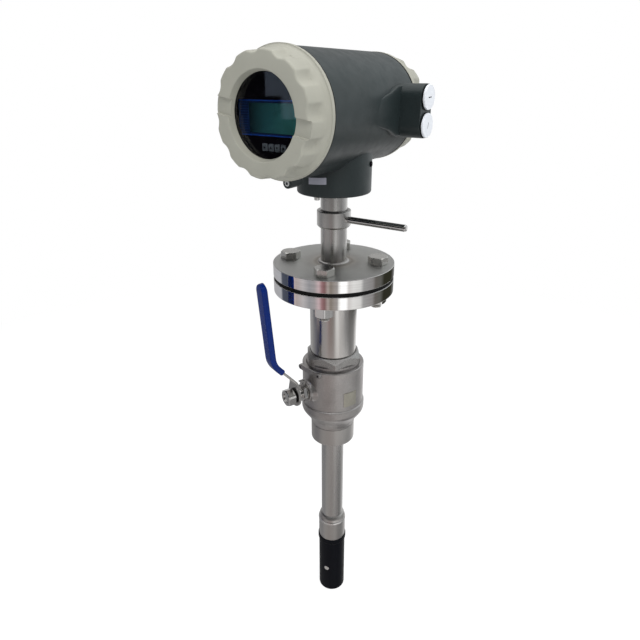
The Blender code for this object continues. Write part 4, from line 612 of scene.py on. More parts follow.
def flange_metal(name):
    """Machined flange: matt faces with a heat-tinted ring at the weld and bright edges."""
    colour = (0.86, 0.85, 0.84)
    n = Surface(name, colour, 0.3, 1.0)
    radius = n.reach()
    wavy = n.math("ADD", radius, n.remap(n.noise(30.0), 0.0, 1.0, -0.004, 0.004))
    tint = n.ramp(n.remap(wavy, PROBE_RADIUS, FLANGE_RADIUS), [
        (0.0, (0.44, 0.42, 0.39)), (0.06, (0.5, 0.48, 0.46)), (0.11, (0.38, 0.35, 0.31)),
        (0.18, (0.52, 0.5, 0.47)), (0.28, (0.5, 0.49, 0.47)), (0.45, (0.56, 0.56, 0.54)),
        (0.8, (0.58, 0.58, 0.565)), (1.0, (0.6, 0.6, 0.59))])
    normal = n.add("ShaderNodeNewGeometry").outputs["True Normal"]
    upright = n.add("ShaderNodeSeparateXYZ", {0: normal}).outputs[2]
    face = n.remap(n.math("ABSOLUTE", upright), 0.4, 0.7)
    rim = n.tones(n.noise(500.0, 2.0, (0.03, 0.03, 1.0)), colour, 0.94, 1.08)
    n.base(n.mix(face, rim, tint))
    matt = n.remap(n.noise(80.0, 4.0), 0.3, 0.7, 0.42, 0.55)
    n.rough(n.add("ShaderNodeMix", {0: face, 2: 0.035, 3: matt},
                  data_type="FLOAT").outputs[0])
    flat = n.add("ShaderNodeCombineXYZ", {0: radius})
    rings = n.add("ShaderNodeTexNoise", {"Scale": 2600.0, "Vector": flat.outputs[0]})
    n.bump(rings.outputs["Fac"], 0.00003, 0.3)
    return n.material


def screen_material():
    """Dark green liquid crystal with faint cells, and painted light that lightens it towards the
    right.
    """
    n = Surface("screen", (0.008, 0.045, 0.042), 0.18, Specular_IOR_Level=0.05)
    cells = n.cells(900.0, 0.06, 0.92, 1.0, 0.62)
    low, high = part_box("lcd_screen")
    # Painted light: the screen's tone grows from near black at the left to lighter teal at the
    # right.
    tone = n.ramp(n.remap(n.axes()[0], low[0], high[0]), [
        (0.0, (0.01, 0.032, 0.044)), (0.45, (0.04, 0.165, 0.185)),
        (1.0, (0.085, 0.36, 0.34))])
    n.base(n.mix(1.0, tone, cells, "MULTIPLY"))
    return n.material


def frame_material():
    """Deep blue film frame with a fine grid and a bright line along its top and bottom."""
    n = Surface("blue_frame", (0.006, 0.02, 0.12), 0.35, Specular_IOR_Level=0.05)
    cells = n.cells(420.0, 0.12, (0.008, 0.018, 0.07), (0.01, 0.022, 0.085),
                    (0.016, 0.055, 0.2))
    low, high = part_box("lcd_frame")
    middle = n.math("ABSOLUTE", n.math("SUBTRACT", n.axes()[2], (low[2] + high[2]) / 2))
    line = n.math("GREATER_THAN", middle, (high[2] - low[2]) / 2 - 0.0009)
    n.base(n.mix(line, cells, (0.02, 0.1, 0.55)))
    return n.material


def glass_material():
    """Clear pane with faint ripples in its gloss."""
    n = Surface("window", (0.93, 0.97, 0.98), 0.015, Transmission_Weight=1.0, IOR=1.46)
    n.rough(n.remap(n.noise(15.0, 2.0), 0.0, 1.0, 0.0, 0.03))
    return n.material


HOUSING = painted("housing_paint", (0.018, 0.026, 0.027), 0.38)
COVER = painted("cover_paint", (0.37, 0.364, 0.308), 0.48, spread=0.05)
STEEL = turned_metal("turned_steel", (0.6, 0.59, 0.58), 0.26)
SLEEVE = turned_metal("sleeve_steel", (0.62, 0.605, 0.59), 0.17)
SOFT_STEEL = turned_metal("worn_steel", (0.58, 0.565, 0.55), 0.32)
BRIGHT = turned_metal("bright_steel", (0.78, 0.77, 0.76), 0.11, grain=500.0)
BOLT = turned_metal("bolt_steel", (0.68, 0.67, 0.645), 0.25, grain=300.0)
CAP = blasted_metal("cap_steel", (0.48, 0.47, 0.46), 0.3)
CAST = blasted_metal("cast_steel", (0.59, 0.57, 0.56), 0.36)
CAST_MARK = blasted_metal("cast_mark", (0.6, 0.58, 0.5), 0.34)
FLANGE = flange_metal("flange_steel")
BLACK = moulded("black_polymer", (0.004, 0.0045, 0.007), 0.36, gloss=0.07)
# Black rubber, which also serves as the painted shade in the upper plug's slot.
RUBBER_AND_SLOT_SHADE = moulded("black_rubber", 0.005, 0.6, gloss=0.2)
VINYL = moulded("blue_vinyl", (0.0012, 0.017, 0.14), 0.24, spread=0.12, gloss=0.2)
PLUG = moulded("white_plug", (0.8, 0.82, 0.86), 0.38, spread=0.02)
STICKER = moulded("sticker", (0.3, 0.3, 0.35), 0.5, spread=0.03)
PANEL = moulded("dark_panel", (0.005, 0.0035, 0.006), 0.35, gloss=0.02)
KEYS = moulded("grey_keys", (0.2, 0.22, 0.25), 0.4, gloss=0.1)
# Near-black print of the key marks, also used as the painted shade in the lock pad's holes.
MARK_AND_HOLE_SHADE = moulded("key_mark", (0.012, 0.012, 0.016), 0.5, gloss=0.1)
ZINC = moulded("zinc_plate", 0.6, 0.35)
# Grey painted shade for the slot of the lower plug.
SLOT_SHADE_GREY = moulded("slot_shade_grey", (0.3, 0.3, 0.32), 0.5)
PTFE = moulded("ptfe", (0.75, 0.73, 0.66), 0.45)
BOARD = moulded("circuit_board", (0.01, 0.09, 0.03), 0.4)
COPPER = turned_metal("winding_wire", (0.6, 0.25, 0.1), 0.35)
SCREEN = screen_material()
FRAME = frame_material()
GLASS = glass_material()


def barrel_radius(reach):
    """Radius of the slightly tapered barrel at a distance in front of the probe."""
    share = (HOUSING_FRONT - reach) / (HOUSING_FRONT + HOUSING_REAR)
    return HOUSING_RADIUS - HOUSING_TAPER * share


def neck_mesh():
    """Neck with the socket of the probe, whose top follows the wall of the barrel."""
    rows = [around(STEPS, lambda angle: (r, z)) for r, z in softened([
        (PROBE_HOLE, 0.37), (PROBE_HOLE, NECK_BOTTOM, 0.0006),
        (NECK_RADIUS, NECK_BOTTOM, 0.0022), (NECK_RADIUS, 0.3725)])]
    rows.append(around(STEPS, lambda angle: (NECK_RADIUS, HEAD_HEIGHT - sqrt(
        0.0565 ** 2 - (NECK_RADIUS * cos(angle)) ** 2))))
    return surface(rows, True)


def keel_row(reach):
    """Section of the keel: flat foot, flanks at 45 degrees and a top inside the wall."""
    tangent = (barrel_radius(reach) - 0.0004) * sin(pi / 4)
    narrow = tangent - (HEAD_HEIGHT - tangent - KEEL_BOTTOM)
    points = [(-tangent, HEAD_HEIGHT - tangent), (-narrow, KEEL_BOTTOM),
              (narrow, KEEL_BOTTOM), (tangent, HEAD_HEIGHT - tangent)]
    points += arc((0, HEAD_HEIGHT), 0.0575, -47, -133, 10)
    return [(x, -reach, z) for x, z in points]


def housing_pieces():
    """Barrel, neck, keel, lug and cable entry boss of the casting."""
    def part(name, bm, place=None):
        make(name, bm, HOUSING, node="housing", place=place)

    front, rear = HOUSING_FRONT, -HOUSING_REAR
    part("housing_barrel", revolve([
        (CHAMBER_RADIUS, front + SPIGOT_LENGTH, 0.0005),
        (SPIGOT_RADIUS, front + SPIGOT_LENGTH, 0.0008),
        (SPIGOT_RADIUS, front), (HOUSING_RADIUS, front, 0.001),
        (HOUSING_RADIUS - HOUSING_TAPER, rear, 0.001),
        (SPIGOT_RADIUS, rear), (SPIGOT_RADIUS, rear - SPIGOT_LENGTH, 0.0008),
        (CHAMBER_RADIUS, rear - SPIGOT_LENGTH, 0.0005),
        (CHAMBER_RADIUS, -0.018, 0.001), (0.01, -0.018), (0.01, -0.013),
        (CHAMBER_RADIUS, -0.013, 0.001)], STEPS_LARGE), FRONT)
    part("housing_neck", neck_mesh())
    keel = loft([keel_row(0.0), keel_row(HOUSING_FRONT - 0.0008)])
    part("housing_keel", bevelled(keel, 0.0014))
    root = HEAD_HEIGHT - 0.0565
    outline = (arc((0, LUG_HEIGHT), LUG_RADIUS, 180, 360, 24)
               + [(LUG_RADIUS, root), (-LUG_RADIUS, root)])
    part("lock_lug", bevelled(prism(outline, LUG_START, LUG_REACH), 0.0006, angle=50),
         turned(90, "X"))
    half = ENTRY_SPACING / 2
    outline = oblong(ENTRY_Y, half, -half, ENTRY_BOSS_RADIUS, 32)
    boss = loft([[(x, y, ENTRY_HEIGHT + z) for y, z in outline]
                 for x in (0.0535, ENTRY_REACH)])
    part("entry_boss", bevelled(boss, 0.001, angle=50))
    rows = []
    for y, half_height, rise in RAMP_STATIONS:
        row = [(0.0525, y, ENTRY_HEIGHT - half_height)]
        for i in range(13):
            share = i / 6 - 1
            row.append((HOUSING_RADIUS + rise - 0.002 * share ** 2, y,
                        ENTRY_HEIGHT + share * half_height))
        rows.append(row + [(0.0525, y, ENTRY_HEIGHT + half_height)])
    part("entry_ramp", bevelled(loft(rows), 0.0012, angle=40))


def smooth(value):
    """Soft step from 0 to 1."""
    value = min(max(value, 0.0), 1.0)
    return value * value * (3 - 2 * value)


def valley(angle, radius, depth):
    """How far the grip edge is hollowed at an angle round the cover."""
    pitch = 2 * pi / LOBE_COUNT
    local = (angle - LOBE_PHASE) % pitch - pitch / 2
    share = local * radius / VALLEY_HALF_WIDTH
    hollow = depth * (1 - share * share) / VALLEY_SOFTNESS
    return VALLEY_SOFTNESS * (hollow if hollow > 20 else log1p(exp(hollow)))


def cover_mesh(back, radii, window):
    """Cover with lobes round its edge, as rings of points from the middle outwards."""
    front = back + COVER_DEPTH
    rim, lobe, edge = radii
    if window:
        face = softened([(WAIST_RADIUS, front - GLASS_SETBACK),
                         (WINDOW_RADIUS, front, 0.0012), (0.05, front)])
    else:
        face = [(r, front) for r in (0.0, 0.02, 0.04, 0.05)]
    rings = [(r, z, 0.0) for r, z in face]
    corner = (edge - FRONT_EDGE, front - FRONT_EDGE)
    rings += [(r, z, VALLEY_DEPTH) for r, z in arc(corner, FRONT_EDGE, 90, 0, 6)]
    side_end = back + RIM_WIDTH + FILLET_LENGTH

    def hollow(z):
        grown = (lobe - edge) * min((corner[1] - z) / (corner[1] - side_end), 1.0)
        return (VALLEY_DEPTH + grown) * (1 - smooth((front - z - 0.015) / 0.0095))

    for i in range(1, 17):
        share = i / 16
        z = corner[1] + (side_end - corner[1]) * share
        rings.append((edge + (lobe - edge) * share, z, hollow(z)))
    for i in range(1, 15):
        turn = radians(180 + 88 * i / 14)
        z = side_end + FILLET_LENGTH * sin(turn)
        rings.append((rim + (rim - lobe) * cos(turn), z, hollow(z)))
    outer = softened([(rim - 0.0004, back + RIM_WIDTH + 0.0001),
                      (rim, back + RIM_WIDTH, 0.0004), (rim, back, 0.0005),
                      (THREAD_RADIUS, back)])
    rings += [(r, z, 0.0) for r, z in outer[1:]]
    bore = 0.0465 if window else 0.0462
    rings += [(THREAD_RADIUS, back + 0.0145, 0.0), (bore, back + 0.0145, 0.0)]
    if window:
        rings += [(bore, front - GLASS_SETBACK - 0.0001, 0.0)]
    else:
        rings += [(bore, front - 0.005, 0.0), (0.0, front - 0.005, 0.0)]
    bm = surface([[(0, 0, z)] if r == 0.0 else around(720, lambda angle: (
        r - (valley(angle, edge, depth) if depth > 1e-6 else 0.0), z))
        for r, z, depth in rings], window)
    bmesh.ops.recalc_face_normals(bm, faces=bm.faces)
    return bm


def cut_slots(cover, place, front):
    """Cut the two wrench slots with a rounded bar and apply the cut."""
    for side in (0.0, pi):
        bar = bevelled(block((WAIST_RADIUS, -SLOT_WIDTH / 2, -SLOT_DEPTH),
                             (0.075, SLOT_WIDTH / 2, SLOT_DEPTH)), 0.0008)
        bar.transform(place @ shift(z=front) @ Matrix.Rotation(LOBE_PHASE + side, 4, "Z"))
        tool = linked("slot_bar", to_mesh("slot_bar", bar))
        cut = cover.modifiers.new("Slot", "BOOLEAN")
        cut.object = tool
        cut.solver = "EXACT"
        bpy.context.view_layer.update()
        shaped = cover.evaluated_get(bpy.context.evaluated_depsgraph_get())
        mesh = bpy.data.meshes.new_from_object(shaped)
        cover.modifiers.clear()
        cover.data = mesh
        bpy.data.objects.remove(tool)
    shade_smooth(cover.data, 32)


def cover(side, place, start, radii):
    """Turned cover with its grip lobes and wrench slots."""
    back = start + COVER_GAP
    shell = make(side + "_cover_shell", cover_mesh(back, radii, side == "front"), COVER,
                 side + "_cover_unit", side + "_cover", place, flat_walls=False)
    cut_slots(shell, place, back + COVER_DEPTH)


def cover_pieces():
    """Both covers, the window with its retaining ring, and the seals."""
    cover("front", FRONT, HOUSING_FRONT, FRONT_COVER_RADII)
    top = HOUSING_FRONT + COVER_GAP + COVER_DEPTH - GLASS_SETBACK - 0.0003
    glass = lathe("window_pane", "window_glass", GLASS,
                  band(0, GLASS_RADIUS, top, top - 0.0052), FRONT, "front_cover_unit")
    glass.visible_shadow = False
    top -= 0.0055
    lathe("glass_retainer", "window_retainer", PANEL, [
        (0.041, top, 0.0003), (GLASS_RADIUS, top, 0.0003),
        (GLASS_RADIUS, top - 0.0036, 0.0003), (0.041, top - 0.0036, 0.0003)], FRONT,
        "front_cover_unit")
    cover("rear", REAR, HOUSING_REAR, REAR_COVER_RADII)
    for side, place, start, seal in (("front", FRONT, HOUSING_FRONT, 0.063),
                                     ("rear", REAR, HOUSING_REAR, 0.0604)):
        lathe(side + "_seal_o", side + "_cover_seal", RUBBER_AND_SLOT_SHADE,
              band(SEAL_BORE, seal, start + 0.0003, start + 0.0013), place,
              side + "_seal_ring")


def small_fittings():
    """Plugs, seals, screws and the sticker on the housing."""
    for sign, label, lean in ((1, "upper", 4), (-1, "lower", 68)):
        place = shift(0, ENTRY_Y, ENTRY_HEIGHT + sign * ENTRY_SPACING / 2) @ turned(90, "Y")
        low = ENTRY_REACH + 0.0015
        high = low + 0.0024
        lathe("plug_" + label, "cable_plug_" + label, PLUG, [
            (0, high), (0.0128, high, 0.0008), (0.0128, low, 0.0003), (0.0097, low),
            (0.0097, low - 0.014), (0, low - 0.014)], place, steps=96)
        # Dark bar in place of each plug's screwdriver slot: painted shade of the recess, black
        # on the upper plug and grey on the lower one.
        slot = bevelled(block((-0.0006, -0.0035, high - 0.0004),
                              (0.0006, 0.0035, high + 0.0001)), 0.0002, 2)
        make("plug_slot_" + label, slot, RUBBER_AND_SLOT_SHADE if sign > 0 else SLOT_SHADE_GREY,
             place=place @ turned(lean, "Z"))
        lathe("plug_gasket_" + label, "plug_seal_" + label, RUBBER_AND_SLOT_SHADE,
              band(0.01, 0.0133, ENTRY_REACH + 0.0003, ENTRY_REACH + 0.0012), place,
              steps=96)
    lug = shift(z=LUG_HEIGHT) @ turned(90, "X")
    make("lock_screw", hexagon_socket(0.003, LUG_REACH - 0.0157, LUG_REACH + 0.0005), ZINC,
         node="cover_lock_screw", place=lug)
    make("clamp_screw", hexagon_socket(0.003, NECK_RADIUS - 0.012, NECK_RADIUS + 0.0015),
         PANEL, node="neck_clamp_screw", place=sideways(0.379, 14.0))
    top = NECK_BOTTOM - 0.0003
    lathe("earth_bolt", "earth_screw", BRIGHT, [
        (0, top + 0.01), (0.0022, top + 0.01), (0.0022, top), (0.0042, top, 0.0003),
        (0.0042, top - 0.0012, 0.0003), (0.003, top - 0.0014), (0.0033, top - 0.0016),
        (0.0033, top - 0.0045, 0.0006), (0.0009, top - 0.0045), (0.0009, top - 0.0032),
        (0, top - 0.0032)], shift(*polar(0.033, radians(-92.0))), steps=STEPS_FINE)
    sticker = curved_plate((0.0438, 0.0441), (0.3607, 0.368), -96.0, 28.5, 24, 0.0012)
    make("sticker", sticker, STICKER, node="tag_label")


def curved_plate(radii, heights, start, sweep, steps, rise=0.0):
    """Plate round the Z axis, from an angle on in degrees, that may rise along its way."""
    rows = []
    for i in range(steps + 1):
        angle = radians(start + sweep * i / steps)
        lift = rise * (i / steps - 0.5)
        rows.append([polar(radius, angle, z + lift)
                     for radius, z in ((radii[0], heights[0]), (radii[1], heights[0]),
                                       (radii[1], heights[1]), (radii[0], heights[1]))])
    return loft(rows)


def hexagon_socket(radius, low, high):
    """Socket screw: a rod whose end has a hexagonal recess."""
    rows = [[(0, 0, low)]]
    for r, z in ((radius, low), (radius, high - 0.0004), (radius - 0.0004, high)):
        rows.append(around(STEPS_FINE, lambda angle: (r, z)))
    for z in (high, high - 0.0022):
        rows.append(around(STEPS_FINE, lambda angle: (
            0.0017 / cos(angle % (pi / 3) - pi / 6) * 0.9, z)))
    return surface(rows + [[(0, 0, high - 0.0026)]], False)


def display_pieces():
    """Keys with plain marks; the plate, frame and screen keep their CAD shapes."""
    marks = (((-0.0012, -0.0014), (0.0014, 0.0), (-0.0012, 0.0014)),
             ((-0.0014, -0.001), (0.0014, -0.001), (0.0, 0.0016)),
             ((-0.0014, 0.001), (0.0, -0.0016), (0.0014, 0.001)),
             ((-0.0013, -0.0013), (0.0013, -0.0013), (0.0013, 0.0013), (-0.0013, 0.0013)))
    for i in range(4):
        node = "key_%d" % (i + 1)
        low, high = (Vector(v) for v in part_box(node))
        cap = bevelled(block(low, high), 0.0005)
        make("cap_%d" % (i + 1), cap, KEYS, node + "_button", node)
        middle = (low + high) / 2
        outline = [(middle.x + x, middle.z + z) for x, z in marks[i]]
        mark = loft([[(x, y, z) for x, z in outline] for y in (low.y - 0.00005, low.y + 0.0004)])
        make("mark_%d" % (i + 1), mark, MARK_AND_HOLE_SHADE, node + "_button")


def weld_bead(radius, height, width, rise, ripples):
    """Weld bead round the probe with the ripples of its run."""
    rings = []
    for k in range(STEPS * 3):
        angle = 2 * pi * k / (STEPS * 3)
        swell = 1 + 0.06 * abs(sin(angle * ripples / 2)) + 0.05 * noise.noise(
            Vector((cos(angle), sin(angle), height)) * 3)
        profile = [(radius + width * swell * sin(pi * i / 16),
                    height + rise * swell * cos(pi * i / 16)) for i in range(9)]
        rings.append([polar(r, angle, z) for r, z in profile + [(radius, height)]])
    return surface(rings, True)


def probe_pieces():
    """Tube, collar, handle, sensor head, tip and electrodes."""
    low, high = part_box("probe_tube")
    lathe("probe_rod", "probe_tube", STEEL, band(PROBE_BORE, PROBE_RADIUS, high[2], low[2]))
    low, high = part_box("positioning_collar")
    lathe("collar", "positioning_collar", STEEL, [
        (PROBE_HOLE, high[2] - 0.0012), (0.0175, high[2]), (0.0204, high[2], 0.0012),
        (0.0204, low[2] + 0.0023, 0.0003), (0.0181, low[2]), (PROBE_HOLE, low[2])])
    lathe("handle_rod", "positioning_handle", BRIGHT, [
        (0, 0.0955), (0.004, 0.0955, 0.0022), (0.004, 0.0178), (0, 0.0178)],
        sideways(0.3147, 1.5), steps=STEPS_FINE)
    lathe("sensor_neck", "sensor_head", SOFT_STEEL, [
        (0.009, -0.1293), (0.0122, -0.1293), (0.0122, -0.1443), (0.016, -0.1443, 0.0004),
        (0.0175, -0.1458, 0.002), (0.019, -0.1488, 0.004), (0.02, -0.1533, 0.006),
        (0.0202, -0.158, 0.004), (0.0202, -0.188, 0.0004), (0.017, -0.188),
        (0.017, -0.171), (0.009, -0.171)])
    make("sensor_weld", weld_bead(0.0186, -0.1562, 0.0021, 0.0042, 26), BRIGHT)
    lathe("sensor_cup", "sensor_tip", BLACK, [
        (0.0155, -0.1713), (0.0167, -0.1713), (0.0167, -0.1883), (0.0214, -0.1883, 0.0008),
        (0.0214, -0.195, 0.0012), (0.0201, -0.1968, 0.001), (0.0201, -0.2964, 0.0016),
        (0, -0.2964), (0, -0.2904), (0.0155, -0.2904)])
    for node, azimuth in (("electrode_front", -81.0), ("electrode_rear", 99.0)):
        lathe(node + "_pin", node, BRIGHT, [
            (0, 0.0203), (0.004, 0.0203, 0.0008), (0.004, 0.0181), (0.0022, 0.0181),
            (0.0022, 0.0149), (0, 0.0149)], sideways(-0.2497, azimuth), steps=STEPS_FINE)


def sideways(height, azimuth):
    """Frame that turns Z to point away from the probe at a height and an azimuth."""
    return shift(z=height) @ turned(azimuth, "Z") @ turned(90, "Y")


def flange_pieces():
    """Flange pair with gasket, weld bead, bolts and nuts."""
    low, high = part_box("upper_flange")
    lathe("flange_top", "upper_flange", FLANGE, [
        (PROBE_HOLE, FLANGE_TOP), (FLANGE_RADIUS, FLANGE_TOP, 0.0007),
        (FLANGE_RADIUS, low[2], 0.0006), (PROBE_HOLE, low[2])], steps=STEPS_LARGE)
    make("probe_weld", weld_bead(0.0161, FLANGE_TOP - 0.0002, 0.0032, 0.0022, 34),
         SOFT_STEEL)
    low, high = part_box("flange_gasket")
    lathe("gasket", "flange_gasket", RUBBER_AND_SLOT_SHADE, band(0.031, 0.0742, high[2], low[2]),
          steps=STEPS_LARGE)
    low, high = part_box("lower_flange")
    lathe("flange_bottom", "lower_flange", FLANGE, [
        (PIPE_HOLE, high[2]), (FLANGE_RADIUS, high[2], 0.0006),
        (FLANGE_RADIUS, FLANGE_BOTTOM, 0.0007), (0.0345, FLANGE_BOTTOM, 0.0008),
        (0.032, low[2] + 0.0007, 0.001), (PIPE_HOLE, low[2])], steps=STEPS_LARGE)
    for i in range(4):
        turn = radians(BOLT_DEGREES + 90 * i)
        spot = shift(*polar(BOLT_CIRCLE, turn))
        node = "flange_bolt_%d" % (i + 1)
        low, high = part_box(node)
        head = bevelled(hexagon(BOLT_FLATS, 0.2613, high[2], 0.97,
                                turn=turn + radians(9 * i)), 0.0004, 2, 24)
        merge(head, revolve(threads(0.007, low[2], 0.226), STEPS_FINE))
        make("bolt_%d" % (i + 1), head, BOLT, node=node, place=spot)
        node = "flange_nut_%d" % (i + 1)
        low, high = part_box(node)
        nut = hexagon(BOLT_FLATS, low[2], high[2], 0.96, 0.0072, turn + radians(12),
                      both=True)
        make("nut_%d" % (i + 1), nut, BRIGHT, node=node, place=spot)


def valve_pieces():
    """Sleeve, end cap, valve body with boss and pad, and the weld base."""
    low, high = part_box("sleeve_tube")
    lathe("sleeve", "sleeve_tube", SLEEVE, band(PIPE_BORE, PIPE_RADIUS, high[2], low[2]))
    cap = hexagon(0.0673, 0.1247, 0.1378, 0.951, PIPE_HOLE, radians(-51.6), crown=0.96)
    make("cap_hex", bevelled(cap, 0.0006, 2, 24), CAP, node="valve_end_cap")
    lathe("cap_spigot", "valve_end_cap", CAST, band(VALVE_BORE, 0.0357, 0.1255, 0.1148, 0.0))
    lathe("valve_shell", "valve_body", CAST, [
        (0.036, 0.1211, 0.0006), (0.0413, 0.1211, 0.0012), (0.0413, 0.0632, 0.0014),
        (0.0429, 0.0618, 0.001), (0.0429, 0.0525, 0.004), (0.0419, 0.049, 0.004),
        (0.0396, 0.0455, 0.006), (0.0325, 0.0354, 0.006), (0.0303, 0.0285, 0.004),
        (0.0303, 0.026, 0.0006), (VALVE_BORE, 0.026), (VALVE_BORE, 0.058), (0.036, 0.058)],
        steps=160)
    lathe("stem_housing", "valve_body", CAST, [
        (0.0103, 0.046, 0.0005), (0.0145, 0.046, 0.001), (0.0145, 0.0425, 0.003),
        (0.0187, 0.0372, 0.003), (0.021, 0.03), (0.0103, 0.03)], STEM, steps=96)
    outline = oblong(PAD_MIDDLE, 0.018 - PAD_HALF, -0.0245 + PAD_HALF, PAD_HALF, 16)
    tilt = STEM @ shift(z=0.0417) @ turned(7.4, "X")
    make("lock_pad", bevelled(prism(outline, -0.005, 0.0), 0.0008, 3, 50), CAST,
         node="valve_body", place=tilt)
    # Dark discs in place of the pad's two holes: painted shade of the holes.
    for i, side in enumerate((0.014, -0.0205)):
        lathe("pad_hole_%d" % (i + 1), None, MARK_AND_HOLE_SHADE, band(0, 0.0014, 0.0001, -0.0015, 0.0),
              tilt @ shift(PAD_MIDDLE, side, 0), steps=32)
    panel = curved_plate((0.0405, 0.042), (0.07, 0.091), -36.0, 27.0, 16)
    make("cast_panel", bevelled(panel, 0.0004, 2, 50), CAST_MARK)
    lathe("base_pipe", "weld_base", SOFT_STEEL, [
        (PIPE_BORE, 0.0257), (PIPE_RADIUS, 0.0257, 0.0003), (PIPE_RADIUS, 0.0, 0.0008),
        (PIPE_BORE, 0.0)])


def stem_pieces():
    """Stem, lock tab, nuts and washer between the valve and its lever."""
    def part(name, node, bm, material):
        make(name, bm, material, "lever_unit", node, STEM)

    part("stem_shaft", "valve_stem", revolve([
        (0, 0.0742), (0.006, 0.0742, 0.0008), (0.006, 0.0383), (0.0087, 0.0383),
        (0.0087, 0.0348), (0, 0.0348)], STEPS_FINE), BRIGHT)
    tab = revolve([(STEM_HOLE, 0.0466), (0.0115, 0.0466), (0.0115, 0.0478),
                   (STEM_HOLE, 0.0478)], STEPS_FINE)
    merge(tab, bevelled(block((0.0095, -0.003, 0.0466), (0.0185, 0.003, 0.0478)), 0.0003))
    merge(tab, bevelled(block((0.0173, -0.003, 0.0467), (0.0185, 0.003, 0.0538)), 0.0004))
    part("lock_tab", "nut_lock_tab", tab, SOFT_STEEL)
    part("gland_nut", "packing_nut",
         hexagon(NUT_FLATS, 0.0481, 0.0531, 0.95, STEM_HOLE, radians(20)), BRIGHT)
    part("spring_ring", "spring_washer",
         revolve(band(STEM_HOLE, 0.01, 0.0633, 0.0653, 0.0003), STEPS_FINE), RUBBER_AND_SLOT_SHADE)
    part("end_nut", "lever_nut",
         hexagon(NUT_FLATS, 0.0656, 0.0754, 0.94, STEM_HOLE, radians(-5)), BRIGHT)


def bend(corner, before, after, radius, steps):
    """Stations (rise, reach, tilt) round a bend of the lever strip."""
    tangent = radius * tan(abs(after - before) / 2)
    start = Vector(corner) - tangent * Vector((cos(before), sin(before)))
    side = 1 if after > before else -1
    centre = start + Vector((-sin(before), cos(before))) * side * radius
    stations = []
    for i in range(steps + 1):
        tilt = before + (after - before) * i / steps
        point = centre + Vector((sin(tilt), -cos(tilt))) * side * radius
        stations.append((point.x, point.y, tilt))
    return stations


def lever_stations():
    """Stations (rise, reach, tilt) along the strip, from its round end to the grip's."""
    first = (LEVER_FIRST_BEND, LEVER_REACH)
    rise = LEVER_SECOND_BEND - LEVER_FIRST_BEND
    second = (LEVER_SECOND_BEND, LEVER_REACH + rise * tan(LEVER_SLANT))
    stations = [(-LEVER_EYE * cos(radians(a)), LEVER_REACH, 0.0)
                for a in range(2, 90, 8)]
    stations += [(0.0, LEVER_REACH, 0.0), (0.007, LEVER_REACH, 0.0)]
    stations += bend(first, 0.0, LEVER_SLANT, 0.01, 8)
    stations += [along(first, LEVER_SLANT, rise) for rise in (LEVER_NARROW, GRIP_START)]
    stations += bend(second, LEVER_SLANT, LEVER_LEAN, 0.03, 14)
    return stations + [along(second, LEVER_LEAN, LEVER_TOP)]


def along(corner, tilt, rise):
    """Station of a rise on the straight stretch through a corner."""
    return (rise, corner[1] + (rise - corner[0]) * tan(tilt), tilt)


def strip(station, outline):
    """Points of a cross-section (across, through) at one station of the lever."""
    rise, reach, tilt = station
    through = Vector((-sin(tilt), 0, cos(tilt)))
    return [Vector((rise, 0, reach)) + Vector((0, 1, 0)) * a + through * b
            for a, b in outline]


def rounded_bar(half_width, half_thickness, radius, steps=4):
    """Outline of a flat bar with rounded corners."""
    points = []
    for sx, sy, first in ((1, 1, 0), (-1, 1, 90), (-1, -1, 180), (1, -1, 270)):
        centre = (sx * (half_width - radius), sy * (half_thickness - radius))
        points += arc(centre, radius, first, first + 90, steps)
    return points


def lever_width(rise):
    """Half the width of the bare strip: a round eye that tapers in two steps."""
    if rise < 0:
        return max(sqrt(max(LEVER_EYE ** 2 - rise ** 2, 0.0)), 0.0012)
    if rise < LEVER_FIRST_BEND:
        return LEVER_EYE + (LEVER_WAIST - LEVER_EYE) * rise / LEVER_FIRST_BEND
    share = min((rise - LEVER_FIRST_BEND) / (LEVER_NARROW - LEVER_FIRST_BEND), 1.0)
    return LEVER_WAIST + (LEVER_TAIL - LEVER_WAIST) * share


def lever_pieces():
    """Bent strip with its dipped grip."""
    stations = lever_stations()
    rows = [strip(s, rounded_bar(lever_width(s[0]), LEVER_THICKNESS / 2, 0.0005, 2))
            for s in stations]
    make("lever_strip", loft(rows), SOFT_STEEL, "lever_unit", "lever", STEM)
    grip = [s for s in stations if s[0] > GRIP_START - 0.0001]
    first, end = grip[0], grip[-1]
    full = rounded_bar(GRIP_WIDTH, GRIP_THICKNESS, GRIP_CORNER)
    rows = [strip(first, rounded_bar(GRIP_WIDTH * 0.93, GRIP_THICKNESS * 0.8, 0.0012))]
    rows.append(strip(along(first, first[2], first[0] + 0.0008), full))
    rows += [strip(s, full) for s in grip[1:-1]]
    for angle in (0, 15, 30, 45, 60, 72, 82):
        drop = GRIP_WIDTH * (1 - sin(radians(angle)))
        half = max(GRIP_WIDTH * cos(radians(angle)), 0.0022)
        rows.append(strip(along(end, end[2], end[0] + 0.0033 - drop), rounded_bar(
            half, GRIP_THICKNESS * (1 - angle / 400.0), min(GRIP_CORNER, half * 0.6))))
    make("grip_sleeve", loft(rows), VINYL, "lever_unit", "lever_grip", STEM)


def dress_cad_nodes():
    """Materials of the CAD nodes that keep their own shape."""
    chosen = {"face_plate": PANEL, "lcd_frame": FRAME, "lcd_screen": SCREEN,
              "display_board": BOARD, "main_board": BOARD, "terminal_block": BOARD,
              "board_carrier": SOFT_STEEL, "excitation_coil": COPPER, "valve_ball": BRIGHT,
              "upper_seat": PTFE, "lower_seat": PTFE, "stem_packing": PTFE}
    for node, material in chosen.items():
        obj = bpy.data.objects[node]
        obj.data.materials.clear()
        obj.data.materials.append(material)


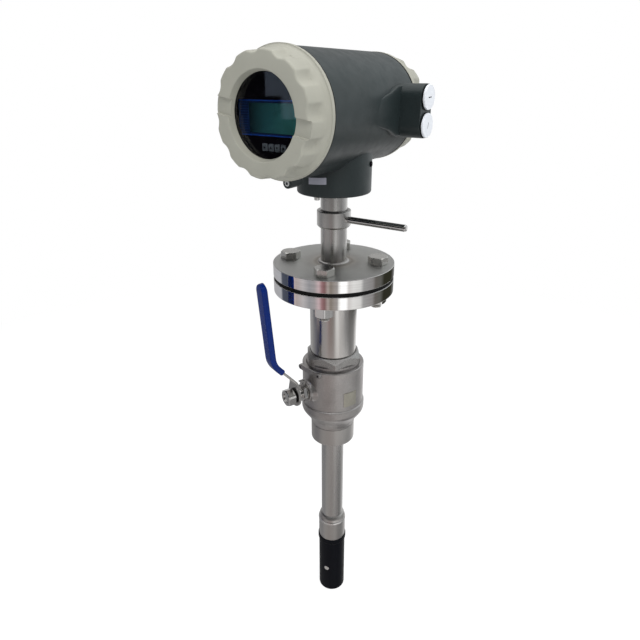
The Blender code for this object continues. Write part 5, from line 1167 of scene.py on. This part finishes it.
def studio():
    """Floor, lamps, backdrop and camera."""
    floor_sheet(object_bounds()[0][2] - 0.0002)
    backdrop()
    world()
    add_light("key", (1.5, -0.9, 1.9), 26.0, 1.2)
    add_light("fill", (-1.5, -1.0, 1.0), 4.0, 1.4)
    add_light("top", (0.0, 0.2, 2.2), 16.0, 1.6)
    camera = bpy.data.cameras.new("camera")
    camera.lens = CAMERA_LENS
    camera.sensor_width = 36.0
    place = linked("camera", camera)
    place.location = CAMERA_PLACE
    place.rotation_euler = (CAMERA_TILT, CAMERA_ROLL, CAMERA_TURN)
    bpy.context.scene.camera = place
    bpy.context.scene.view_settings.view_transform = "Standard"


def add_light(name, place, power, size):
    """Round lamp that lights the object and doesn't show in reflections."""
    light = bpy.data.lights.new(name, "AREA")
    light.energy = power
    light.shape = "DISK"
    light.size = size
    obj = linked(name, light)
    obj.location = place
    aim = Vector((0, 0, 0.15)) - Vector(place)
    obj.rotation_euler = aim.to_track_quat("-Z", "Y").to_euler()
    obj.visible_glossy = False
    obj.visible_transmission = False


def staged(name, bm, material, *hidden):
    """Floor or curtain, hidden from some kinds of rays."""
    mesh = to_mesh(name, bm)
    mesh.materials.append(material)
    obj = linked(name, mesh)
    for ray in hidden:
        setattr(obj, "visible_" + ray, False)
    obj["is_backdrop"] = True


def floor_sheet(z):
    """Pale floor that reads white where nothing shades it, and keeps the object's shadow."""
    n = Surface("floor_pale", 0.85, 0.9)
    matt = n.add("ShaderNodeBsdfDiffuse", {"Color": 0.3})
    glow = n.add("ShaderNodeEmission", {"Strength": FLOOR_GLOW})
    near = n.add("ShaderNodeAddShader", {0: matt.outputs[0], 1: glow.outputs[0]})
    white = n.add("ShaderNodeEmission")
    shown = n.mix_shaders(n.remap(n.reach(), 0.7, 1.5), near, white)
    n.show(n.mix_shaders(n.seen(), n.shader, shown))
    bm = bmesh.new()
    bm.faces.new([bm.verts.new((x * FLOOR_HALF, y * FLOOR_HALF, z))
                  for x, y in ((-1, -1), (1, -1), (1, 1), (-1, 1))])
    staged("floor", bm, n.material, "glossy")


def backdrop():
    """Round curtain of soft grey bands that only shows as reflections in the metal."""
    n = Surface("curtain_grey", 0.5, 0.9)
    x, y, z = n.axes()
    offset = n.math("SUBTRACT", n.math("ARCTAN2", y, x), CAMERA_AZIMUTH)
    share = n.math("FRACT", n.math("ADD", n.math("DIVIDE", offset, 2 * pi), 1.5))

    def bands(tones):
        return n.ramp(share, [((angle + 180) / 360, tone) for angle, tone in tones.items()])

    colour = bands(HEAD_BANDS)
    for height, tones in CURTAIN_ZONES:
        below = n.remap(z, height + ZONE_BLEND, height - ZONE_BLEND)
        colour = n.mix(below, colour, bands(tones))
    for first, last, low, high in WINDOW_PANES:
        inside = n.math("GREATER_THAN", share, (first + 180) / 360)
        for side in (("LESS_THAN", share, (last + 180) / 360), ("GREATER_THAN", z, low),
                     ("LESS_THAN", z, high)):
            inside = n.math("MULTIPLY", inside, n.math(*side))
        colour = n.mix(inside, colour, WINDOW_LIGHT)
    n.show(n.add("ShaderNodeEmission", {"Color": colour}))
    rows = [around(72, lambda angle: (CURTAIN_RADIUS, z)) for z in CURTAIN_HEIGHTS]
    staged("curtain", surface(rows, False), n.material, "camera", "diffuse", "shadow")


def world():
    """White behind everything and in reflections, softer as light on the object."""
    surroundings = bpy.data.worlds.new("studio")
    bpy.context.scene.world = surroundings
    surroundings.use_nodes = True
    n = Nodes(surroundings.node_tree)
    n.tree.nodes.clear()
    soft = n.add("ShaderNodeBackground", {"Color": (0.8, 0.82, 0.84), "Strength": 0.75})
    white = n.add("ShaderNodeBackground", {"Color": 1})
    mixed = n.mix_shaders(n.seen(), soft, white)
    n.add("ShaderNodeOutputWorld", {"Surface": mixed.outputs[0]})


housing_pieces()
cover_pieces()
small_fittings()
display_pieces()
probe_pieces()
flange_pieces()
valve_pieces()
stem_pieces()
lever_pieces()
dress_cad_nodes()
studio()
